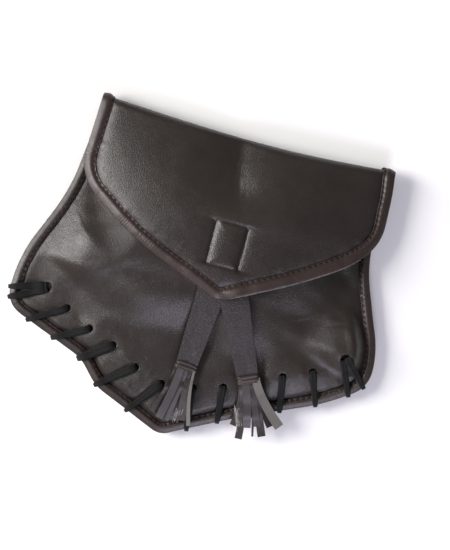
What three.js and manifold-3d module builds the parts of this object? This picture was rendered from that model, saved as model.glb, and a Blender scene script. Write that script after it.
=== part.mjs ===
// Belt pouch of dark brown imitation leather, lying on its back with the flap closed.
// Millimetres. X runs across the pouch from its middle line, Y from the top of the fold
// towards it, so that the pocket is at negative Y, and Z out of the front.
import * as THREE from 'three';
import { mergeVertices } from 'three/addons/utils/BufferGeometryUtils.js';
import Module from 'manifold-3d';

const { lerp, smoothstep } = THREE.MathUtils;
const wasm = await Module();
wasm.setup();

// ---------------------------------------------------------------- driving dimensions

const SHEET = 1.2; // leather of the panels, the flap and the straps
const GAP = 0.3; // clearance between pieces that touch
const BINDING = 1.1; // leather of the binding
const BINDING_WIDTH = 6; // from the edge to the inner side of the binding
const BINDING_ROUND = 1.3; // rounding of the binding's two outer corners
const BINDING_GAP = 0.45; // clearance between a binding and the leather in it
const INSET = BINDING + GAP; // from the outside of a binding to the sheet in it
const UNDER_BINDING = 5.2; // from a sheet's edge to just past its binding
const FLAP_BINDING_WIDTH = 7.2; // the same two for the flap
const UNDER_FLAP_BINDING = 6.4;

const SEAM_Z = 7; // middle of the sewn edge above the surface
const STACK = 2 * SHEET + GAP; // front and back panel lying on each other
const BELLY = 9.6; // how far the front swells out above the seam
const BELLY_AT_MOUTH = 0.55; // share of that swelling that is left at the mouth
const EDGE_RISE = 1; // how far the front has risen just inside the binding
const FLOOR_Z = SHEET / 2; // middle of the back panel where it rests
const LOOP_BULGE_Z = 7.75; // middle of the back panel over the belt loop
const BACK_MARGIN = 5; // how much further in the back panel begins to swell

const FLAP_SIDE_Z = 12.6; // middle of the flap's sheet along its sides
const FOLD_Z = 15.6; // and on the middle of the fold
const FLAP_RISE = 11.3; // from the fold to the highest part of the flap
const FLAP_ARCH = 2.8; // how squarely the flap turns down to its sides
const FLAP_MIDDLE = 4; // X of the flap's middle
const FLAP_HALF = 89; // from that middle to the flap's sides
const FOLD_SAG = 4; // how far the fold hangs down where it is lowest
const FLAP_END_Y = -8.7; // where the flap meets the back panel behind, at the sides
const FLAP_END_DIP = 2.8; // and how much lower in the middle

const MOUTH_Y = -9.1; // mouth of the pocket at the sides
const MOUTH_DIP = 6; // and how much lower in the middle
const BINDING_TOP_Y = -11.5; // upper ends of the pocket's binding

// Hook-and-loop tape between the flap and the front, its two halves as one piece.
const FASTENER = { left: -1.5, right: 16.5, top: -55, bottom: -78, thickness: 3 };

// Belt loop: half its width, its two sewn ends with their lap, and the ramps beside them.
const LOOP = { half: 20, thickness: 1.8, top: -21, bottom: -99, lap: 8, ramp: 7 };
const LOOP_MARGIN = 7; // how far round the loop the back panel's bulge is level
const LOOP_SLOPE = 19; // and how far it takes to come down from there

const LACE_RADIUS = 1.7;
const LACE_CLEARANCE = 0.45; // between the lace and what it lies on
const LACE_STEPS = 236;
const HOLE_RADIUS = 2.1;

// The sewn edge of the pocket, down its left side, round the bottom and up its right
// side. Each corner is rounded off over the given length on both sides.
const POCKET_EDGE = [
  { x: -83.4, y: -5, round: 0 },
  { x: -89.4, y: -58, round: 16 },
  { x: -107.4, y: -102, round: 14 },
  { x: -109, y: -132, round: 12, turn: true },
  { x: -58, y: -151.4, round: 6 },
  { x: -45.4, y: -165.2, round: 6 },
  { x: -2.2, y: -183.2, round: 6, turn: true },
  { x: 34, y: -163.8, round: 10 },
  { x: 84, y: -141.6, round: 10 },
  { x: 109, y: -125, round: 12, turn: true },
  { x: 107.4, y: -102, round: 10 },
  { x: 89.4, y: -58, round: 16 },
  { x: 88.4, y: -5, round: 0 },
];

// The outline of the flap, in the same order.
const FLAP_EDGE = [
  { x: -84.5, y: 2, round: 0 },
  { x: -85.6, y: -49.5, round: 16, turn: true },
  { x: -47.5, y: -75.6, round: 18 },
  { x: 10.2, y: -98.9, round: 5 },
  { x: 51.7, y: -76.9, round: 12 },
  { x: 76, y: -61.2, round: 10 },
  { x: 93.6, y: -44.5, round: 13, turn: true },
  { x: 92.6, y: -12, round: 8 },
  { x: 90.2, y: 2, round: 0 },
];

// Soft folds of the front panel, each a ridge from one point to another.
const FOLDS = [
  { x0: -86, y0: -58, x1: -62, y1: -92, width: 9, height: 1.2 },
  { x0: 98, y0: -88, x1: 56, y1: -98, width: 6, height: 0.8 },
  { x0: 96, y0: -101, x1: 60, y1: -106, width: 6, height: 0.7 },
];

// The valley and the raised slope that run down the flap from the fold.
const FLAP_FOLDS = [
  { x0: 3, y0: -8, x1: 4, y1: -44, width: 6, height: -0.9 },
  { x0: 18, y0: -14, x1: 22, y1: -44, width: 9, height: 0.8 },
];

// Holes of the lacing from right to left, and where each turn goes over the edge.
const LACING = [
  { x: 92.3, y: -111, edgeX: 106.9, edgeY: -126.4 },
  { x: 88.4, y: -114.4, edgeX: 98.6, edgeY: -132.4 },
  { x: 74.4, y: -124.2, edgeX: 81.2, edgeY: -143.6 },
  { x: 58.3, y: -131.4, edgeX: 61.6, edgeY: -150.6 },
  { x: 42.5, y: -138.5, edgeX: 46, edgeY: -158.6 },
  { x: 26.6, y: -146.2, edgeX: 28.3, edgeY: -166.9 },
  { x: 9.3, y: -151, edgeX: 12.2, edgeY: -175.5 },
  { x: -8.6, y: -153.4, edgeX: -24, edgeY: -173.2 },
  { x: -25.6, y: -148, edgeX: -43.6, edgeY: -162.6 },
  { x: -41, y: -138.8, edgeX: -55.6, edgeY: -153.4 },
  { x: -57.2, y: -133.6, edgeX: -75.4, edgeY: -143.6 },
  { x: -73, y: -125.4, edgeX: -92.6, edgeY: -137.4 },
  { x: -87, y: -119.2, edgeX: -105, edgeY: -127.8 },
  { x: -87.9, y: -114.4, edgeX: -108, edgeY: -121.8 },
];

const STRAPS = [
  { name: 'left', x0: 7.4, y0: -58, x1: 2.8, y1: -140.2, raised: 0 },
  { name: 'right', x0: 3.4, y0: -62, x1: 39.4, y1: -138, raised: SHEET + 1.7 * GAP },
];
const STRAP_TOP_WIDTH = 20;
const STRAP_END_WIDTH = 12.2;
const STRAPS_PART_Y = -105; // below here the right strap no longer lies on the left one

// The wrap round the end of each strap, and the tassel that hangs from it.
const BAND = { wall: 1, length: 4.6, height: 5.2 };
const TASSEL = { length: 34, spread: 27, thickness: 5 };
const TASSEL_DROP = 0.06; // how steeply a tassel may slope down, per millimetre

const COLORS = { leather: 0x2c2521, binding: 0x33231f, lace: 0x15140f };

// ------------------------------------------------------------------- flat outlines

// Points at equal steps along a line through the corners, and the places of its turns.
function trace(corners, steps) {
  const at = corners.map(({ x, y }) => new THREE.Vector2(x, y));
  const path = new THREE.Path();
  path.moveTo(at[0].x, at[0].y);
  for (let i = 1; i < at.length - 1; i += 1) {
    const [before, after] = [at[i - 1], at[i + 1]].map((next) =>
      at[i].clone().add(next.clone().sub(at[i]).setLength(corners[i].round)));
    path.lineTo(before.x, before.y);
    path.quadraticCurveTo(at[i].x, at[i].y, after.x, after.y);
  }
  path.lineTo(at.at(-1).x, at.at(-1).y);
  const points = path.getSpacedPoints(steps);
  const nearest = (corner) => {
    const gaps = points.map((p) => p.distanceTo(corner));
    return gaps.indexOf(Math.min(...gaps));
  };
  const turns = at.filter((_, i) => corners[i].turn).map(nearest);
  return { points, turns };
}

// The same points moved to the left of the way that they run, which is inwards.
function insetBy(points, distance) {
  return points.map((p, i) => {
    const before = points[Math.max(i - 1, 0)];
    const after = points[Math.min(i + 1, points.length - 1)];
    const along = after.clone().sub(before).normalize();
    return new THREE.Vector2(p.x - along.y * distance, p.y + along.x * distance);
  });
}

// Part of a line, from one of its points to another, as a function of 0 to 1.
function stretch(points, from, to) {
  return (t) => {
    const at = lerp(from, to, t);
    const low = Math.min(Math.floor(at), points.length - 2);
    return points[low].clone().lerp(points[low + 1], at - low);
  };
}

// The area between four such sides: top and bottom run to the right, left and right down.
function areaBetween({ top, bottom, left, right }) {
  return (s, t) => {
    const corners = [
      [top(0), (1 - s) * (1 - t)],
      [top(1), s * (1 - t)],
      [bottom(0), (1 - s) * t],
      [bottom(1), s * t],
    ];
    const place = top(s).multiplyScalar(1 - t);
    place.addScaledVector(bottom(s), t);
    place.addScaledVector(left(t), 1 - s);
    place.addScaledVector(right(t), s);
    corners.forEach(([corner, share]) => place.addScaledVector(corner, -share));
    return place;
  };
}

function distanceToSegment(x, y, a, b) {
  const [dx, dy] = [b.x - a.x, b.y - a.y];
  const along = ((x - a.x) * dx + (y - a.y) * dy) / (dx * dx + dy * dy);
  const t = THREE.MathUtils.clamp(along, 0, 1);
  return Math.hypot(x - a.x - t * dx, y - a.y - t * dy);
}

// How far a point lies to the left of a line through some points, and less than zero on
// its right.
function leftOf(line, x, y) {
  const gaps = line.slice(1).map((b, i) => {
    const a = line[i];
    const side = Math.sign((b.x - a.x) * (y - a.y) - (b.y - a.y) * (x - a.x));
    return side * distanceToSegment(x, y, a, b);
  });
  return gaps.reduce((least, gap) => (Math.abs(gap) < Math.abs(least) ? gap : least));
}

// The line through some corners, carried on for a way past both of its ends.
function extended(corners) {
  const furtherOn = 60;
  const points = corners.map(({ x, y }) => new THREE.Vector2(x, y));
  const beyond = (end, next) => end.clone().lerp(next, -furtherOn / end.distanceTo(next));
  points[0] = beyond(points[0], points[1]);
  points[points.length - 1] = beyond(points.at(-1), points.at(-2));
  return points;
}

// ------------------------------------------------------------------ heights of the leather

// The sides and the two halves of the bottom.
const POCKET_SIDES = [[0, 4], [3, 7], [6, 10], [9, 13]].map(([from, to]) =>
  extended(POCKET_EDGE.slice(from, to)));

// The pocket swells between its sides and the two halves of the lacing. It stays flat
// for the margin and is full after the reach.
const SWELL_LINES = [
  { line: POCKET_SIDES[0], margin: 7.5, reach: 42 },
  { line: extended(LACING.slice(7).reverse()), margin: 2, reach: 34 },
  { line: extended(LACING.slice(0, 7).reverse()), margin: 2, reach: 34 },
  { line: POCKET_SIDES[3], margin: 7.5, reach: 42 },
];

const dome = (u) => (u <= 0 ? 0 : u >= 1 ? 1 : u * (2 - u));

// 0 on the seams and the lacing, 1 in the middle of the pocket.
function fullness(x, y, extraMargin = 0) {
  const shares = SWELL_LINES.map(({ line, margin, reach }) =>
    dome((leftOf(line, x, y) - margin - extraMargin) / reach));
  return shares.reduce((all, share) => all * share, 1);
}

// 0 under the binding, 1 a little inside it.
function inside(x, y) {
  const shares = POCKET_SIDES.map((line) =>
    smoothstep(leftOf(line, x, y), BINDING_WIDTH + 1, BINDING_WIDTH + 12));
  return shares.reduce((all, share) => all * share, 1);
}

function foldsAt(folds, x, y) {
  return folds.reduce((sum, { x0, y0, x1, y1, width, height }) => {
    const gap = distanceToSegment(x, y, { x: x0, y: y0 }, { x: x1, y: y1 });
    return sum + height * Math.exp(-((gap / width) ** 2));
  }, 0);
}

// Middle of the front panel's sheet.
function frontZ(x, y) {
  const swelling = BELLY * lerp(BELLY_AT_MOUTH, 1, smoothstep(-y, 12, 62));
  const full = fullness(x, y);
  const rise = EDGE_RISE * inside(x, y);
  return SEAM_Z + (SHEET + GAP) / 2 + rise + full * (swelling + foldsAt(FOLDS, x, y));
}

// Middle of the back panel's sheet, which bulges in over the belt loop and rests on the
// surface around it.
function backZ(x, y) {
  const besideLoop = Math.abs(x) - LOOP.half - LOOP_MARGIN;
  const belowLoop = LOOP.bottom - LOOP_MARGIN - y;
  const overLoop = (1 - smoothstep(besideLoop, 0, LOOP_SLOPE))
    * (1 - smoothstep(belowLoop, 0, LOOP_SLOPE));
  const edgeZ = SEAM_Z - (SHEET + GAP) / 2;
  const belowTop = smoothstep(-y, 9, 17);
  const away = lerp(Math.min(1, 1.5 * fullness(x, y, BACK_MARGIN)), 1, overLoop);
  return lerp(edgeZ, lerp(FLOOR_Z, LOOP_BULGE_Z, overLoop), away * belowTop);
}

// Middle of the flap's sheet in front of the fold.
function flapZ(x, y) {
  const aside = Math.abs(x - FLAP_MIDDLE) / FLAP_HALF;
  const down = Math.min(1, Math.max(0, (-y - 5) / 60));
  const crown = FOLD_Z + FLAP_RISE * Math.sin((Math.PI / 2) * down)
    - 0.8 * smoothstep(-y, 70, 98);
  const arch = 1 - Math.min(1, aside) ** FLAP_ARCH;
  return FLAP_SIDE_Z + (crown - FLAP_SIDE_Z) * arch + foldsAt(FLAP_FOLDS, x, y);
}

// ------------------------------------------------------------------------- solids

function geometryOf(points, triangles) {
  const geometry = new THREE.BufferGeometry().setFromPoints(points);
  geometry.setIndex(triangles);
  geometry.computeVertexNormals();
  return geometry;
}

// Normal of a grid of points at one of them. Rows run down and columns to the right.
function gridNormal(grid, row, column) {
  const [up, down] = [grid[Math.max(row - 1, 0)], grid[Math.min(row + 1, grid.length - 1)]];
  const line = grid[row];
  const across = line[Math.min(column + 1, line.length - 1)].clone()
    .sub(line[Math.max(column - 1, 0)]);
  return down[column].clone().sub(up[column]).cross(across).normalize();
}

// Rows and columns of a grid's rim, down the left, along the bottom and up the right.
function rimOf(grid, firstRow) {
  const [rows, columns] = [grid.length, grid[0].length];
  const rim = [];
  for (let row = firstRow; row < rows; row += 1) rim.push([row, 0]);
  for (let column = 1; column < columns; column += 1) rim.push([rows - 1, column]);
  for (let row = rows - 2; row >= firstRow; row -= 1) rim.push([row, columns - 1]);
  return rim;
}

// A sheet of leather around a grid of points.
function sheet(grid, thickness) {
  const [rows, columns] = [grid.length, grid[0].length];
  const index = (row, column) => row * columns + column;
  const faces = [1, -1].map((side) => grid.flatMap((line, row) => line.map((p, column) =>
    p.clone().addScaledVector(gridNormal(grid, row, column), (side * thickness) / 2))));
  const back = rows * columns;
  const triangles = [];
  for (let row = 0; row < rows - 1; row += 1) {
    for (let column = 0; column < columns - 1; column += 1) {
      const a = index(row, column);
      const [b, c, d] = [a + columns, a + columns + 1, a + 1];
      triangles.push(a, b, c, a, c, d);
      triangles.push(back + a, back + c, back + b, back + a, back + d, back + c);
    }
  }
  const rim = rimOf(grid, 0);
  for (let column = columns - 2; column > 0; column -= 1) rim.push([0, column]);
  rim.forEach(([row, column], i) => {
    const p = index(row, column);
    const q = index(...rim[(i + 1) % rim.length]);
    triangles.push(p, back + p, back + q, p, back + q, q);
  });
  return geometryOf(faces.flat(), triangles);
}

// A flat section carried along frames, each with a place and the section's two axes.
function sweep(frames, section) {
  const sides = section.length;
  const points = frames.flatMap(({ place, inward, up }) => section.map((corner) =>
    place.clone().addScaledVector(inward, corner.x).addScaledVector(up, corner.y)));
  const triangles = [];
  for (let i = 0; i < frames.length - 1; i += 1) {
    for (let j = 0; j < sides; j += 1) {
      const [a, b] = [i * sides + j, i * sides + ((j + 1) % sides)];
      triangles.push(a, b, b + sides, a, b + sides, a + sides);
    }
  }
  const last = (frames.length - 1) * sides;
  THREE.ShapeUtils.triangulateShape(section, []).forEach(([a, b, c]) => {
    triangles.push(a, c, b, last + a, last + b, last + c);
  });
  return geometryOf(points, triangles);
}

// Section of a binding folded round a stack of leather: a U that opens inwards.
function bindingSection(stack, width) {
  const half = stack / 2 + BINDING_GAP + BINDING;
  const [outer, r, inner] = [half, BINDING_ROUND, half - BINDING];
  const contour = [
    [width, outer], [r, outer], [0, outer - r],
    [0, r - outer], [r, -outer], [width, -outer],
    [width, -inner], [BINDING, -inner], [BINDING, inner], [width, inner],
  ];
  return contour.map(([x, y]) => new THREE.Vector2(x, y));
}

// Frames along the rim of a grid for the binding that is folded round it.
function rimFrames(grid, firstRow) {
  const rim = rimOf(grid, firstRow);
  return rim.map(([row, column], i) => {
    const [before, after] = [rim[Math.max(i - 1, 0)], rim[Math.min(i + 1, rim.length - 1)]];
    const along = grid[after[0]][after[1]].clone().sub(grid[before[0]][before[1]]);
    const up = gridNormal(grid, row, column);
    const inward = up.clone().cross(along).normalize();
    const place = grid[row][column].clone().addScaledVector(inward, -INSET);
    return { place, inward, up };
  });
}

function solidOf(geometry) {
  const bare = geometry.clone();
  bare.deleteAttribute('normal');
  bare.deleteAttribute('uv');
  const merged = mergeVertices(bare);
  return new wasm.Manifold(new wasm.Mesh({
    numProp: 3,
    vertProperties: merged.attributes.position.array,
    triVerts: Uint32Array.from(merged.index.array),
  }));
}

function geometryFrom(solid) {
  const { vertProperties, triVerts } = solid.getMesh();
  const geometry = new THREE.BufferGeometry();
  geometry.setAttribute('position', new THREE.BufferAttribute(vertProperties, 3));
  geometry.setIndex(new THREE.BufferAttribute(triVerts, 1));
  geometry.computeVertexNormals();
  return geometry;
}

const part = new THREE.Group();

function add(name, geometry, color, roughness = 0.4) {
  const material = new THREE.MeshStandardMaterial({ color, roughness, metalness: 0 });
  const mesh = new THREE.Mesh(geometry, material);
  mesh.name = name;
  part.add(mesh);
}

// ------------------------------------------------------------------- pocket and flap

// Rows and columns of the grids that the sheets are made from, and about how long their
// sides are, which gives the steps that end beside a binding.
const PANEL = { rows: 16, columns: 26, length: 120, width: 190 };
const FLAP = { foldRows: 6, rows: 12, columns: 22, length: 60, width: 175 };

function withHoles(geometry) {
  const holes = LACING.map(({ x, y }) => {
    const hole = new THREE.CylinderGeometry(HOLE_RADIUS, HOLE_RADIUS, 20, 10);
    hole.rotateX(Math.PI / 2);
    hole.translate(x, y, SEAM_Z);
    return solidOf(hole);
  });
  return geometryFrom(holes.reduce((left, hole) => left.subtract(hole), solidOf(geometry)));
}

// A top line from one point to another that hangs down by the dip in its middle.
function dippedLine(from, to, dip) {
  return (s) => new THREE.Vector2(
    lerp(from.x, to.x, s),
    lerp(from.y, to.y, s) - dip * (1 - (2 * s - 1) ** 2),
  );
}

const pocketEdge = trace(POCKET_EDGE, 400);
const pocketLine = insetBy(pocketEdge.points, INSET);
const [pocketLeft, , pocketRight] = pocketEdge.turns;

// Steps from 0 to 1, with a first and a last one of their own.
function steps(count, first, last) {
  const even = Array.from({ length: count - 1 }, (_, i) =>
    lerp(first, 1 - last, i / (count - 2)));
  return [0, ...even, 1];
}

// The points of a pocket panel whose top line starts at topY at the sides.
function pocketGrid(topY, dip, height) {
  const first = pocketLine.findIndex(({ y }) => y < topY);
  const last = pocketLine.findLastIndex(({ y }) => y < topY);
  const area = areaBetween({
    top: dippedLine(pocketLine[first], pocketLine[last], dip),
    bottom: stretch(pocketLine, pocketLeft, pocketRight),
    left: stretch(pocketLine, first, pocketLeft),
    right: stretch(pocketLine, last, pocketRight),
  });
  const aboveBinding = (topY - BINDING_TOP_Y) / PANEL.length;
  const side = UNDER_BINDING / PANEL.width;
  const rows = steps(PANEL.rows, aboveBinding, UNDER_BINDING / PANEL.length);
  const columns = steps(PANEL.columns, side, side);
  return rows.map((t) => columns.map((s) => {
    const { x, y } = area(s, t);
    return new THREE.Vector3(x, y, height(x, y));
  }));
}

const frontGrid = pocketGrid(MOUTH_Y, MOUTH_DIP, frontZ);
const backGrid = pocketGrid(FLAP_END_Y - GAP - 0.1, FLAP_END_DIP, backZ);
add('back_panel', withHoles(sheet(backGrid, SHEET)), COLORS.leather);
add('front_panel', withHoles(sheet(frontGrid, SHEET)), COLORS.leather);

const levelGrid = frontGrid.map((line) =>
  line.map(({ x, y }) => new THREE.Vector3(x, y, SEAM_Z)));
const bodyBinding = sweep(rimFrames(levelGrid, 1), bindingSection(STACK, BINDING_WIDTH));
add('body_binding', bodyBinding, COLORS.binding);

const flapEdge = trace(FLAP_EDGE, 400);
const flapLine = insetBy(flapEdge.points, INSET);

// A point on the middle line of the fold, where the flap's front part begins.
function foldPoint(x) {
  const aside = Math.min(1, Math.abs(x - FLAP_MIDDLE) / FLAP_HALF);
  const behindZ = SEAM_Z - (SHEET + GAP) / 2;
  const topZ = FLAP_SIDE_Z + (FOLD_Z - FLAP_SIDE_Z) * (1 - aside ** FLAP_ARCH);
  const radius = (topZ - behindZ) / 2;
  const y = -radius - SHEET / 2 - FOLD_SAG * (1 - aside ** 2);
  return { x, y, radius, behindZ, endY: FLAP_END_Y - FLAP_END_DIP * (1 - aside ** 2) };
}

function flapGrid() {
  const side = UNDER_FLAP_BINDING / FLAP.width;
  const frontRows = steps(FLAP.rows, 1 / FLAP.rows, UNDER_FLAP_BINDING / FLAP.length);
  const columns = steps(FLAP.columns, side, side);
  const onFold = (i) => flapLine[i].y < foldPoint(flapLine[i].x).y;
  const first = flapLine.findIndex((_, i) => onFold(i));
  const last = flapLine.findLastIndex((_, i) => onFold(i));
  const across = (s) => lerp(flapLine[first].x, flapLine[last].x, s);
  const area = areaBetween({
    top: (s) => new THREE.Vector2(across(s), foldPoint(across(s)).y),
    bottom: stretch(flapLine, ...flapEdge.turns),
    left: stretch(flapLine, first, flapEdge.turns[0]),
    right: stretch(flapLine, last, flapEdge.turns[1]),
  });
  const line = (place) => columns.map(place);
  const grid = [line((s) => {
    const { x, endY, behindZ } = foldPoint(across(s));
    return new THREE.Vector3(x, endY, behindZ);
  })];
  for (let step = 0; step < FLAP.foldRows; step += 1) {
    const angle = Math.PI * (1 - step / FLAP.foldRows);
    grid.push(line((s) => {
      const { x, y, radius, behindZ } = foldPoint(across(s));
      const z = behindZ + radius * (1 + Math.cos(angle));
      return new THREE.Vector3(x, y + radius * Math.sin(angle), z);
    }));
  }
  frontRows.forEach((t) => grid.push(line((s) => {
    const { x, y } = area(s, t);
    return new THREE.Vector3(x, y, flapZ(x, y));
  })));
  return grid;
}

const flap = flapGrid();
add('flap', sheet(flap, SHEET), COLORS.leather);
const flapBinding = sweep(rimFrames(flap, 0), bindingSection(SHEET, FLAP_BINDING_WIDTH));
add('flap_binding', flapBinding, COLORS.binding);

// --------------------------------------------------------------- closure and belt loop

function addFastener() {
  const { left, right, top, bottom, thickness } = FASTENER;
  const above = SHEET / 2 + GAP + thickness / 2;
  const [rows, columns] = [4, 3];
  const grid = Array.from({ length: rows + 1 }, (_, row) =>
    Array.from({ length: columns + 1 }, (__, column) => {
      const [x, y] = [lerp(left, right, column / columns), lerp(top, bottom, row / rows)];
      return new THREE.Vector3(x, y, frontZ(x, y) + above);
    }));
  add('fastener_patch', sheet(grid, thickness), COLORS.lace, 0.9);
}
addFastener();

// The loop lies flat on the surface between two ends that are sewn to the back panel.
function addBeltLoop() {
  const { half, thickness, top, bottom, lap, ramp } = LOOP;
  const sewnZ = LOOP_BULGE_Z - SHEET / 2 - GAP - thickness / 2;
  const restZ = thickness / 2;
  const line = trace([
    { x: top, y: sewnZ, round: 0 },
    { x: top - lap, y: sewnZ, round: 2 },
    { x: top - lap - ramp, y: restZ, round: 2 },
    { x: bottom + lap + ramp, y: restZ, round: 2 },
    { x: bottom + lap, y: sewnZ, round: 2 },
    { x: bottom, y: sewnZ, round: 0 },
  ], 60).points;
  const outline = [
    ...insetBy(line, thickness / 2),
    ...insetBy(line, -thickness / 2).reverse(),
  ];
  const loop = new THREE.ExtrudeGeometry(new THREE.Shape(outline), {
    depth: 2 * half,
    bevelEnabled: false,
  });
  const [x, y, z] = [0, 1, 2].map((i) => new THREE.Vector3().setComponent(i, 1));
  loop.applyMatrix4(new THREE.Matrix4().makeBasis(y, z, x));
  loop.translate(-half, 0, 0);
  add('belt_loop', loop, COLORS.leather);
}
addBeltLoop();

// ------------------------------------------------------------------------- lacing

// Where a turn of the lace meets the outside of the binding, and how squarely.
function edgeCrossing({ x, y, edgeX, edgeY }) {
  const hole = new THREE.Vector2(x, y);
  const out = new THREE.Vector2(edgeX - x, edgeY - y).normalize();
  const { points } = pocketEdge;
  const aside = (p) => Math.abs(p.clone().sub(hole).cross(out));
  const ahead = points.filter((p) => p.clone().sub(hole).dot(out) > 0);
  const crossing = ahead.reduce((best, p) => (aside(p) < aside(best) ? p : best));
  const i = points.indexOf(crossing);
  const along = points[i + 1].clone().sub(points[i - 1]).normalize();
  return { hole, out, length: crossing.distanceTo(hole), square: Math.abs(along.cross(out)) };
}

// The lace comes up through a hole, goes out over the edge, and passes behind the
// pocket to the next hole.
function laceRoute() {
  const beside = LACE_RADIUS + LACE_CLEARANCE;
  const overBinding = STACK / 2 + BINDING_GAP + BINDING + beside;
  const route = [];
  const put = ({ x, y }, z) => route.push(new THREE.Vector3(x, y, z));
  LACING.forEach((turn, i) => {
    const { hole, out, length, square } = edgeCrossing(turn);
    const on = (distance) => hole.clone().addScaledVector(out, distance);
    const overPanel = (p) => frontZ(p.x, p.y) + SHEET / 2 + beside;
    const underPanel = (p) => backZ(p.x, p.y) - SHEET / 2 - beside;
    const [rim, inner] = [length - 1.4 / square, length - (BINDING_WIDTH + 0.5) / square];
    put(hole, underPanel(hole) - 0.6);
    put(hole, SEAM_Z - 1);
    put(hole, SEAM_Z + 2.5);
    put(hole, overPanel(hole) - 0.5);
    put(on(2.6), overPanel(hole) + 0.75);
    put(on(6), Math.max(overPanel(on(6)), SEAM_Z + overBinding - 0.6) + 0.35);
    put(on(inner), SEAM_Z + overBinding + 0.2);
    put(on(rim), SEAM_Z + overBinding - 0.05);
    put(on(length + 0.95 / square), SEAM_Z + overBinding - 1.15);
    put(on(length + (beside + 0.1) / square), SEAM_Z);
    put(on(length + 0.95 / square), SEAM_Z - overBinding + 1.15);
    put(on(rim), SEAM_Z - overBinding + 0.05);
    put(on(inner), SEAM_Z - overBinding);
    const next = LACING[i + 1];
    if (next) {
      const toward = (share) => on(inner).lerp(next, share);
      put(toward(0.5), Math.min(underPanel(toward(0.5)), SEAM_Z - overBinding + 0.2));
      put(toward(0.88), underPanel(toward(0.88)) - 0.6);
    } else {
      put(on(0.45 * length), SEAM_Z - overBinding);
    }
  });
  return new THREE.CatmullRomCurve3(route, false, 'centripetal');
}
const lacePath = laceRoute();

function addLace() {
  const section = new THREE.Shape();
  const sides = 8;
  const corner = (i) => {
    const angle = (2 * Math.PI * i) / sides;
    return [LACE_RADIUS * Math.cos(angle), LACE_RADIUS * Math.sin(angle)];
  };
  section.moveTo(...corner(0));
  for (let i = 1; i < sides; i += 1) section.lineTo(...corner(i));
  // Equal steps between the points of the route put most of them where it bends.
  lacePath.getUtoTmapping = (u) => u;
  const lace = new THREE.ExtrudeGeometry(section, {
    steps: LACE_STEPS,
    extrudePath: lacePath,
  });
  add('lace', lace, COLORS.lace, 0.8);
}
addLace();

// -------------------------------------------------------------- straps and tassels

const laceOnTop = lacePath.getPoints(900).filter(({ z }) => z > SEAM_Z);

// Lowest height at which something can lie at a point, on the front or on the lace.
function restZ({ x, y }) {
  const near = laceOnTop.filter((p) => Math.hypot(p.x - x, p.y - y) < 5);
  const tops = near.map(({ z }) => z + LACE_RADIUS);
  return Math.max(frontZ(x, y) + SHEET / 2, ...tops) + GAP;
}

// Middle of a strap above a point: on the fastener under the flap, then on the front.
function strapZ(x, y, raised) {
  const [leavingFastener, leavingStrap] = [9, 12];
  const belowFastener = FASTENER.bottom - 1 - y;
  const belowCrossing = STRAPS_PART_Y + leavingStrap / 2 - y;
  const onFastener = (FASTENER.thickness + GAP)
    * (1 - smoothstep(belowFastener, 0, leavingFastener));
  const onStrap = raised * (1 - smoothstep(belowCrossing, 0, leavingStrap));
  return frontZ(x, y) + SHEET + 1.8 * GAP + onFastener + onStrap;
}

// The middle line of a strap, the way across it, and the height of the wrap at its end.
function strapLine({ x0, y0, x1, y1 }) {
  const along = new THREE.Vector3(x1 - x0, y1 - y0, 0).normalize();
  const aside = new THREE.Vector3(-along.y, along.x, 0);
  const end = new THREE.Vector3(x1, y1, 0);
  const half = STRAP_END_WIDTH / 2 + BAND.wall;
  const under = [-BAND.length / 2, 0, BAND.length / 2].flatMap((back) => [-half, 0, half].map(
    (off) => restZ(end.clone().addScaledVector(along, back).addScaledVector(aside, off))));
  end.z = Math.max(...under) + BAND.height / 2;
  return { along, aside, end };
}

function addStrap(strap) {
  const { name, x0, y0, x1, y1, raised } = strap;
  const { aside, end } = strapLine(strap);
  const [rows, columns] = [16, 2];
  const grid = Array.from({ length: rows + 1 }, (_, row) => {
    const t = row / rows;
    const width = lerp(STRAP_TOP_WIDTH, STRAP_END_WIDTH, t);
    return Array.from({ length: columns + 1 }, (__, column) => {
      const place = new THREE.Vector3(lerp(x0, x1, t), lerp(y0, y1, t), 0);
      place.addScaledVector(aside, width * (column / columns - 0.5));
      const lying = strapZ(place.x, place.y, raised);
      place.z = Math.max(lying, lerp(lying, end.z, smoothstep(t, 0.7, 0.9)));
      return place;
    });
  });
  add(`strap_${name}`, sheet(grid, SHEET), COLORS.leather);
}

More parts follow.
